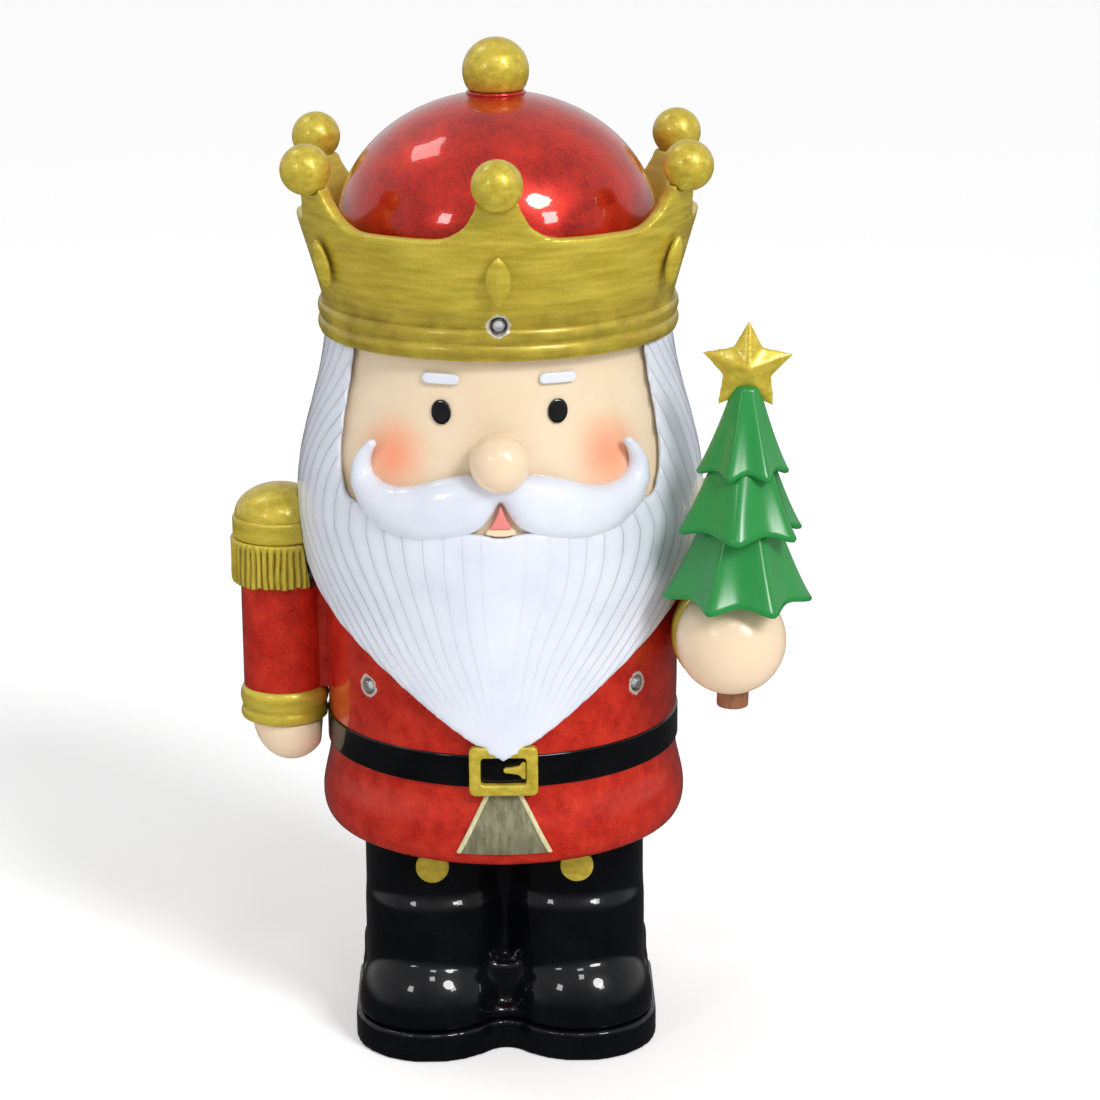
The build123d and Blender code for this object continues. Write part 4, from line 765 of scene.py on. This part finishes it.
# ---- Coat ----
@dataclass
class Coat(SubAssembly):
    """Coat, skirt, belt with its buckle, and the placket."""

    buckle_cell: float = 0.35
    trim_cell: float = 0.3

    def build(self) -> None:
        """Dress the coat and recast the small gold pieces on it."""
        self.dress(RED, "coat_torso", "coat_skirt")
        self.dress(BLACK, "belt")
        self.dress(SILVER, "placket")
        self.soften(
            GOLD_DABBED, Slot.GOLD, belt_buckle=(self.buckle_cell, 3), buckle_prong=(self.trim_cell, 3)
        )
        self.soften(TRIM, Slot.GOLD, placket_trims=(self.trim_cell, 3))


# ---- Head ----
@dataclass
class Head(SubAssembly):
    """Face, hair and beard, and moustache."""

    hair_cell: float = 0.95
    locks: int = 17
    lock_depth: float = 0.2
    lean: float = 0.3
    tip_z: float = 84.9
    spread_z: float = 51.8
    spare: float = 0.3
    full_z: float = 141.0
    top_z: float = 184.3
    hair_r: float = 50.0
    skin_r: float = 48.9
    pressed: float = 0.4
    pellets: int = 34
    moustache_cell: float = 0.5
    lobe: tuple[tuple[float, ...], ...] = (
        (0.0, 0.0, 154.8, 2.8, 3.0),
        (0.08, 3.6, 153.9, 4.2, 3.6),
        (0.17, 8.4, 150.6, 7.2, 4.5),
        (0.3, 13.0, 149.0, 7.7, 4.8),
        (0.44, 19.0, 147.5, 7.1, 4.8),
        (0.57, 25.5, 147.5, 5.9, 4.4),
        (0.69, 30.6, 149.9, 4.6, 3.8),
        (0.79, 33.3, 153.6, 3.3, 3.2),
        (0.88, 33.7, 157.6, 2.3, 2.6),
        (0.95, 32.6, 160.8, 1.7, 2.2),
        (1.0, 31.0, 163.2, 1.3, 1.7),
    )

    def build(self) -> None:
        """Carve the hair, model the moustache and finish the face."""
        self.dress(FACE, "head")
        self.soften(SKIN, Slot.SKIN, nose=(0.4, 3), lower_lip=(0.3, 4))
        self.soften(EYE, Slot.BLACK, eyes=(0.2, 12))
        self.soften(WHITE, Slot.WHITE, eyebrows=(0.3, 4))
        self.soften(PINK, Slot.PINK, mouth=(0.25, 3))
        self.stand_for(self.hair(), HAIR, Slot.WHITE, "hair_and_beard")
        self.stand_for(self.moustache(), WHITE, Slot.WHITE, "moustache")

    def lock_at(self, point: Vector) -> tuple[float, float]:
        """Which lock of hair a point is on.

        Args:
            point: Point of the hair, in metres.

        Returns:
            The lock's number with the place across it as its fraction, and the width of a lock in mm.
        """
        angle = abs(math.atan2(point.x, -point.y))
        level = point.z / MM
        share = max(0.05, (level - self.tip_z) / self.spread_z)
        edge = math.pi / 2 * share / (1 + share**6) ** (1 / 6)
        rim = edge / (edge + self.spare)
        if angle <= edge:
            across, width = angle / (edge + self.spare), self.hair_r * (edge + self.spare) / self.locks
        else:
            across = rim + (2 - rim) * (angle - edge) / (math.pi - edge)
            width = self.hair_r * (math.pi - edge) / (2 - rim) / self.locks
        rise = max(0.0, (level - self.full_z) / (self.top_z - self.full_z))
        back = ease(angle, math.pi / 2, math.pi)
        across += self.lean * rise**1.15 * ease(angle, 0.1, 0.9) * (1 - back)
        side = 1 if point.x >= 0 else 2
        sway = 0.02 * math.sin(level / 9.0 + 2.1 * side + 3.0 * across)
        sway += 0.012 * smooth_noise(point, 16.0)
        sway *= ease(angle, 0.0, 0.3) * ease(math.pi - angle, 0.0, 0.3)
        return self.locks * (across + sway), width

    def hair(self) -> bpy.types.Object:
        """Hair and beard with overlapping carved locks.

        Returns:
            The piece, with its locks' numbers and depth kept for its paint.
        """
        piece = recast("hair_and_beard", self.hair_cell, 6)
        numbers: list[float] = []
        depths: list[float] = []

        def cut(point: Vector, normal: Vector) -> tuple[Vector, float]:
            """Sink the edge of each lock under the next one."""
            out = Vector((point.x, point.y, 0.0)).normalized()
            number, width = self.lock_at(point)
            numbers.append(number)
            angle = abs(math.atan2(point.x, -point.y))
            calm = ease(angle, 0.02, 0.12) * (0.35 + 0.65 * ease(angle, 0.2, 0.8))
            calm *= ease(math.pi - angle, 0.01, 0.08)
            depth = calm * ease(width, 1.2, 3.2) * ease(normal.dot(out), 0.15, 0.6)
            within = number % 1.0
            sunk = 1 - ease(within, 0.0, 0.6) if within < 0.6 else ease(within, 0.8, 1.0)
            depths.append(depth)
            # The second value masks the painted shade where one lock sinks under the next.
            return point - out * (self.lock_depth * depth * sunk * MM), depth * sunk * sunk

        carve(piece, cut)
        store(piece, "lock", numbers)
        store(piece, "lock_depth", depths)
        return piece

    def moustache(self) -> bpy.types.Object:
        """Moustache modelled from a run of pressed pellets on each side, melted together.

        Returns:
            The piece.
        """
        shape = bmesh.new()
        for side in (-1, 1):
            for step in range(self.pellets):
                x, z, wide, deep = along(self.lobe, step / (self.pellets - 1))
                x *= side
                out = Vector((x, -math.sqrt(self.skin_r**2 - x * x), 0.0)) / self.skin_r
                across = Vector((-out.y, out.x, 0.0))
                turn = Matrix((across, out, Vector((0, 0, 1)))).transposed().to_4x4()
                place = Matrix.Translation((out * (self.skin_r - self.pressed) + Vector((0, 0, z))) * MM)
                size = Matrix.Diagonal((wide * MM, deep * MM, wide * MM, 1.0))
                bmesh.ops.create_uvsphere(
                    shape, u_segments=24, v_segments=16, radius=1.0, matrix=place @ turn @ size
                )
        piece = new_piece("moustache_cast", shape)
        cast_in_one(piece, self.moustache_cell, 8)
        return piece


# ---- Crown and cap ----
@dataclass
class Crown(SubAssembly):
    """Crown with its balls, band and jewels, and the cap inside it."""

    crown_cell: float = 0.75
    ball_cell: float = 0.5
    jewel_w: float = 3.1
    jewel_h: float = 6.3
    jewel_t: float = 1.7
    jewel_tilt: float = 13.0
    jewel_seat: float = 1.35
    jewel_tip: float = 0.35
    jewel_ridge: float = 0.28
    points: int = 6

    def build(self) -> None:
        """Recast the crown, cut its jewels and finish the cap."""
        self.soften(GOLD_CROWN, Slot.GOLD, crown=(self.crown_cell, 10))
        self.soften(GOLD_DABBED, Slot.GOLD, crown_balls=(self.ball_cell, 3))
        self.stand_for(self.jewels(), GOLD, Slot.GOLD, "crown_jewels")
        self.dress(GOLD_CROWN, "crown_band")
        self.dress(RED_CAP, "cap", "cap_collar")
        self.soften(GOLD_DABBED, Slot.GOLD, finial=(self.ball_cell, 3))

    def jewels(self) -> bpy.types.Object:
        """Almond-shaped jewels, pointed at both ends and ridged down the middle.

        Returns:
            One piece with a jewel under each point.
        """
        low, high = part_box("crown_jewels")
        middle = (low.z + high.z) / 2
        radius = -low.y - self.jewel_seat * MM
        shape = bmesh.new()
        for number in range(self.points):
            made = bmesh.ops.create_uvsphere(shape, u_segments=24, v_segments=20, radius=1.0)["verts"]
            for vert in made:
                x, y, z = vert.co
                taper = (1 - z * z) ** 0.5 if abs(z) < 1 else 0.0
                vert.co = Vector((
                    x * self.jewel_w * (self.jewel_tip + (1 - self.jewel_tip) * taper),
                    y * self.jewel_t * (1 - self.jewel_ridge * abs(x)),
                    z * self.jewel_h,
                )) * MM
            tilt = Matrix.Rotation(math.radians(self.jewel_tilt), 4, "X")
            turn = Matrix.Rotation(number * TURN / self.points, 4, "Z")
            bmesh.ops.transform(
                shape, verts=made, matrix=turn @ Matrix.Translation((0, -radius, middle)) @ tilt
            )
        return new_piece("crown_jewels_cast", shape)


# ---- Arms ----
@dataclass
class Sleeve(SubAssembly):
    """One arm: epaulette, fringe, sleeve, cuff and hand."""

    arm: Arm
    strands: int = 46
    fringe_cell: float = 0.36
    fringe_depth: float = 0.75
    fringe_r: float = 12.75
    fray: float = 1.3
    cast_cell: float = 0.5

    def build(self) -> None:
        """Cut the fringe, recast the hand and finish the rest."""
        first = self.arm.name.lower()
        self.dress(GOLD_DABBED, f"{first}_arm_epaulette")
        self.dress(GOLD, f"{first}_arm_epaulette_band")
        self.dress(RED, f"{first}_arm_sleeve")
        fringe, cuff, hand = f"{first}_arm_fringe", f"{first}_arm_cuff", f"{first}_hand"
        self.stand_for(self.fringe(fringe), GOLD_FRINGE, Slot.GOLD, fringe)
        self.soften(GOLD, Slot.GOLD, **{cuff: (self.cast_cell, 5)})
        self.soften(SKIN, Slot.SKIN, **{hand: (self.cast_cell, 7)})

    def fringe(self, node: str) -> bpy.types.Object:
        """Ring of chiselled strands, uneven in width and length.

        Args:
            node: The frame node that the fringe is cut from.

        Returns:
            The piece.
        """
        low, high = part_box(node)
        outermost = low.x if self.arm is Arm.HANGING else high.x
        middle_x = outermost - self.arm.value * self.fringe_r * MM
        piece = recast(node, self.fringe_cell, 2)

        def cut(point: Vector, normal: Vector) -> tuple[Vector, float]:
            """Chisel the strands apart and fray their ends."""
            arm_out = Vector((point.x - middle_x, point.y, 0.0)).normalized()
            angle = math.atan2(arm_out.y, arm_out.x)
            sway = 0.35 * noise.noise(Vector((arm_out.x * 3, arm_out.y * 3, point.z / (9 * MM))))
            phase = self.strands * angle / TURN + sway
            wander = 0.5 + 0.5 * noise.noise(Vector((math.floor(phase) * 1.7, self.arm.value, 0.3)))
            within = abs((phase % 1.0) - 0.5) * 2
            sunk = ease(within, 0.35, 1.0) * (0.5 + wander)
            face = ease(normal.dot(arm_out), 0.2, 0.7)
            drop = ease((high.z - point.z) / MM, 0.2, 2.5)
            lift = (1 - ease((point.z - low.z) / MM, 0.0, 2.5)) * wander * self.fray
            moved = point - arm_out * (self.fringe_depth * sunk * face * drop * MM)
            moved.z += lift * MM
            # The second value masks the painted shade between the strands.
            return moved, min(1.0, sunk * face * drop)

        carve(piece, cut)
        return piece


# ---- Tree ----
@dataclass(frozen=True)
class TierSize:
    """One tier of branches, in mm up the trunk."""

    node: str
    low: float
    high: float
    low_r: float
    top_r: float
    turn: float


@dataclass
class Tree(SubAssembly):
    """The little tree in the raised hand: trunk, three tiers and a star."""

    foot: Triple = (56.0, -40.0, 97.0)
    lean: float = 2.0
    lobes: int = 6
    fold: float = 0.24
    droop: float = 1.9
    rows: int = 22
    steps: int = 196
    flats: float = 3.5
    shaving: float = 0.45
    hem: tuple[tuple[float, float], ...] = ((-0.35, -0.55), (-1.2, -0.7), (-2.4, 0.1))
    tiers: tuple[TierSize, ...] = (
        TierSize("tree_lower_tier", 28.4, 53.0, 19.0, 7.0, 0.0),
        TierSize("tree_middle_tier", 45.4, 68.0, 16.4, 5.4, 20.0),
        TierSize("tree_upper_tier", 59.9, 80.0, 11.8, 3.2, 5.0),
    )

    def build(self) -> None:
        """Model the tiers and the star, and rough out the trunk."""
        for size in self.tiers:
            self.stand_for(self.tier(size), GREEN, Slot.GREEN, size.node)
        self.soften(GOLD_DABBED, Slot.GOLD, tree_star=(0.4, 9))
        self.stand_for(self.trunk(), TRUNK, Slot.BROWN, "tree_trunk")

    def upright(self) -> Matrix:
        """Place of the foot of the trunk, leaning outward."""
        return Matrix.Translation(Vector(self.foot) * MM) @ Matrix.Rotation(math.radians(self.lean), 4, "Y")

    def tier(self, size: TierSize) -> bpy.types.Object:
        """Skirt of branches with soft ridges that end in drooping points.

        Args:
            size: Size of the tier.

        Returns:
            The piece.
        """
        shape = bmesh.new()
        height = size.high - size.low
        line = [Vector((0.0, 0.0, size.high + 0.4))]
        for row in range(self.rows + 1):
            share = row / self.rows
            spread = 0.72 * share + 0.28 * share**2.4
            radius = size.top_r + (size.low_r - size.top_r) * spread
            line.append(Vector((radius, 0, size.high - height * share)))
        edge = line[-1]
        line += [edge + Vector((inward, 0, rise)) for inward, rise in self.hem]
        line.append(Vector((3.0, 0, size.low + 3.2)))
        line.append(Vector((0.0, 0, size.low + 3.4)))
        verts = [shape.verts.new(point * MM) for point in line]
        edges = [shape.edges.new(pair) for pair in zip(verts, verts[1:])]
        bmesh.ops.spin(
            shape, geom=verts + edges, cent=(0, 0, 0), axis=(0, 0, 1), angle=TURN, steps=self.steps,
            use_merge=True,
        )
        bmesh.ops.remove_doubles(shape, verts=shape.verts, dist=SAME_POINT)
        bmesh.ops.recalc_face_normals(shape, faces=shape.faces)
        piece = new_piece(f"{size.node}_cast", shape)
        crests: list[float] = []
        place = self.upright()

        def fold(point: Vector, _normal: Vector) -> tuple[Vector, float]:
            """Fold the skirt into ridges and droop its points."""
            angle = math.atan2(point.y, point.x) - math.radians(size.turn)
            wander = 0.1 * math.sin(2 * angle + size.low)
            crest = 1.03 - math.hypot(math.sin(self.lobes * (angle + wander) / 2), 0.2)
            down = ease(size.high - point.z / MM, 0.0, height)
            scale = 1 - self.fold * (0.25 + 0.75 * down) * (1 - crest)
            drop = self.droop * down**3 * (crest - 0.45)
            moved = Vector((point.x * scale, point.y * scale, point.z - drop * MM))
            # The crest value masks the painted highlight; the second value returned masks the painted shade
            # in the valleys.
            crests.append(crest * (0.35 + 0.65 * down))
            return place @ moved, (1 - crest) ** 2 * (0.4 + 0.6 * down)

        carve(piece, fold)
        store(piece, "crest", crests)
        return piece

    def trunk(self) -> bpy.types.Object:
        """Trunk whittled into uneven flats.

        Returns:
            The piece.
        """
        piece = recast("tree_trunk", 0.4, 2)
        start = Vector(self.foot) * MM

        def whittle(point: Vector, normal: Vector) -> tuple[Vector, float]:
            """Shave shallow flats and splits along the trunk."""
            angle = math.atan2(point.y - start.y, point.x - start.x)
            split = abs(math.sin(self.flats * angle + 2.0 * smooth_noise(point, 6)))
            sunk = (1 - ease(split, 0.0, 0.5)) * ease(Vector((normal.x, normal.y, 0)).length, 0.4, 0.9)
            # The second value masks the painted shade in the flats and splits.
            return point - normal * (self.shaving * sunk * MM), sunk

        carve(piece, whittle)
        return piece


# ---- Lamps ----
@dataclass
class Lamps(SubAssembly):
    """The three clear lamps, each with its chip cup and post inside."""

    cup_r: float = 0.75
    cup_h: float = 0.8
    cup_wall: float = 0.15
    cup_deep: float = 2.2
    post: float = 0.4
    post_h: float = 1.6
    post_deep: float = 2.6
    post_gap: float = 0.95
    coat_angle: float = 48.0
    coat_r: float = 45.6

    def build(self) -> None:
        """Finish the lenses and set a cup and a post in each."""
        self.dress(CLEAR, "crown_lamp", "coat_lamps")
        low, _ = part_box("crown_lamp")
        middle = centre_of("crown_lamp")
        self.inside("crown_lamp_cup", [(Vector((middle.x, low.y, middle.z)), Vector((0, -1, 0)))])
        level = centre_of("coat_lamps").z
        angle = math.radians(self.coat_angle)
        places = []
        for side in (-1, 1):
            out = Vector((side * math.sin(angle), -math.cos(angle), 0))
            places.append((out * self.coat_r * MM + Vector((0, 0, level)), out))
        self.inside("coat_lamp_cups", places)

    def inside(self, name: str, places: list[tuple[Vector, Vector]]) -> None:
        """Cups and posts seen through the lenses.

        Args:
            name: Name of the piece.
            places: Tip and outward direction of each lens.
        """
        shape = bmesh.new()
        for tip, out in places:
            turn = out.to_track_quat("Z", "Y").to_matrix().to_4x4()
            seat = Matrix.Translation(tip - out * self.cup_deep * MM) @ turn
            bmesh.ops.create_cone(
                shape, cap_ends=True, segments=20, radius1=self.cup_r * 0.6 * MM, radius2=self.cup_r * MM,
                depth=self.cup_h * MM, matrix=seat,
            )
            lip = [face for face in shape.faces if face.normal.dot(out) > 0.9]
            bmesh.ops.inset_region(shape, faces=lip[-1:], thickness=self.cup_wall * MM)
            side = turn @ Vector((self.post_gap * MM, 0, 0))
            stand = Matrix.Translation(tip - out * self.post_deep * MM + side) @ turn
            size = Matrix.Diagonal((self.post * MM, self.post * MM, self.post_h * MM, 1.0))
            bmesh.ops.create_cube(shape, size=1.0, matrix=stand @ size)
        self.stand_for(new_piece(name, shape), STEEL, Slot.STEEL)


# ---- Room ----
@dataclass
class Room:
    """Pale floor, soft lights and camera; sizes in mm, lights in metres."""

    distance: float = 820.0
    eye_z: float = 357.0
    pitch: float = 15.75
    focal: float = 110.1
    shift_x: float = 0.0445
    roll: float = -0.65
    sky_under: float = 0.05
    sky_front: float = 0.16
    sky_back: float = 0.7
    sky_top: float = 0.48
    sun_power: float = 1.5
    sun_width: float = 16.0
    sun_from: Triple = (0.58, -0.81, 0.78)
    aim: Triple = (0.0, 0.0, 0.13)

    def build(self) -> None:
        """Lay the floor, hang the lights and set up the camera."""
        self.floor()
        self.sky()
        self.sun()
        self.light("right_box", (0.66, -0.8, 0.62), 0.17, 1.4)
        self.light("left_box", (-0.66, -0.8, 0.62), 0.17, 1.1)
        self.light("middle_box", (0.04, -0.75, 0.98), 0.16, 1.0)
        self.light("back_box", (-0.5, 0.25, 1.0), 0.25, 0.9)
        self.camera()

    def floor(self) -> None:
        """Pale floor that runs out of sight and is left out of reflections."""
        shape = bmesh.new()
        bmesh.ops.create_grid(shape, x_segments=8, y_segments=8, size=6.0)
        floor = new_piece("floor", shape)
        bench = Bench("pale_floor")
        grain = bench.cloud(bench.where(), 3.0, 3.0)
        dull, clean = (0.93, 0.93, 0.93), (0.95, 0.95, 0.95)
        bench.feed("Base Color", bench.mix(bench.spread(grain, 0.0, 1.0), dull, clean))
        bench.feed("Roughness", bench.spread(grain, 0.55, 0.65))
        bench.fixed(Specular_IOR_Level=0.2, Emission_Strength=0.24, Emission_Color=(1.0, 1.0, 1.0, 1.0))
        floor.data.materials.append(bench.material)
        floor.visible_glossy = False

    def sky(self) -> None:
        """White sky, dimmer in front and nearly dark under the horizon, where only gloss sees it."""
        world = bpy.data.worlds.new("studio")
        world.use_nodes = True
        wiring = Wiring(world.node_tree)
        direction = wiring.tree.nodes.new("ShaderNodeTexCoord")
        axes = wiring.axes(direction.outputs["Generated"])
        level = wiring.spread(axes["Y"], self.sky_front, self.sky_back, -0.75, 0.15)
        raised = wiring.spread(axes["Z"], level, self.sky_top, 0.05, 0.75)
        whole = wiring.spread(axes["Z"], self.sky_under, raised, -0.15, 0.05)
        wiring.join(wiring.tree.nodes["Background"], {"Strength": whole, "Color": (1.0, 1.0, 1.0, 1.0)})
        bpy.context.scene.world = world

    @staticmethod
    def hang(name: str, data: bpy.types.ID) -> bpy.types.Object:
        """Put a light or a camera in the scene."""
        holder = bpy.data.objects.new(name, data)
        bpy.context.scene.collection.objects.link(holder)
        return holder

    def sun(self) -> None:
        """Wide soft sun from the front on the tree's side, so the shadow falls back to the other side."""
        lamp = bpy.data.lights.new("sun", "SUN")
        lamp.energy = self.sun_power
        lamp.angle = math.radians(self.sun_width)
        aim = -Vector(self.sun_from)
        self.hang("sun", lamp).rotation_euler = aim.to_track_quat("-Z", "Y").to_euler()

    def light(self, name: str, place: Triple, size: float, power: float) -> None:
        """Square soft light aimed at the figure.

        Args:
            name: Name of the light.
            place: Where it hangs, in metres.
            size: Its side in metres.
            power: Its power in watts.
        """
        lamp = bpy.data.lights.new(name, "AREA")
        lamp.size = size
        lamp.energy = power
        holder = self.hang(name, lamp)
        holder.location = place
        holder.rotation_euler = (Vector(self.aim) - Vector(place)).to_track_quat("-Z", "Y").to_euler()

    def camera(self) -> None:
        """Camera in front of the figure, looking a little down on it."""
        data = bpy.data.cameras.new("camera")
        data.lens = self.focal
        data.sensor_width = 36.0
        data.shift_x = self.shift_x
        data.clip_start = 0.05
        data.clip_end = 20.0
        place = Matrix.Translation(Vector((0, -self.distance, self.eye_z)) * MM)
        tilt = Matrix.Rotation(math.radians(90.0 - self.pitch), 4, "X")
        roll = Matrix.Rotation(math.radians(self.roll), 4, "Z")
        holder = self.hang("camera", data)
        holder.matrix_world = place @ tilt @ roll
        bpy.context.scene.camera = holder


def main() -> None:
    """Build every sub-assembly, then the room."""
    bpy.context.scene.view_settings.view_transform = "Standard"
    for part in (
        Feet(), Base(), Coat(), Head(), Crown(), Sleeve(Arm.HANGING), Sleeve(Arm.RAISED), Tree(), Lamps()
    ):
        part.build()
        LOG.info("%s done", type(part).__name__)
    Room().build()


if __name__ == "__main__":
    main()
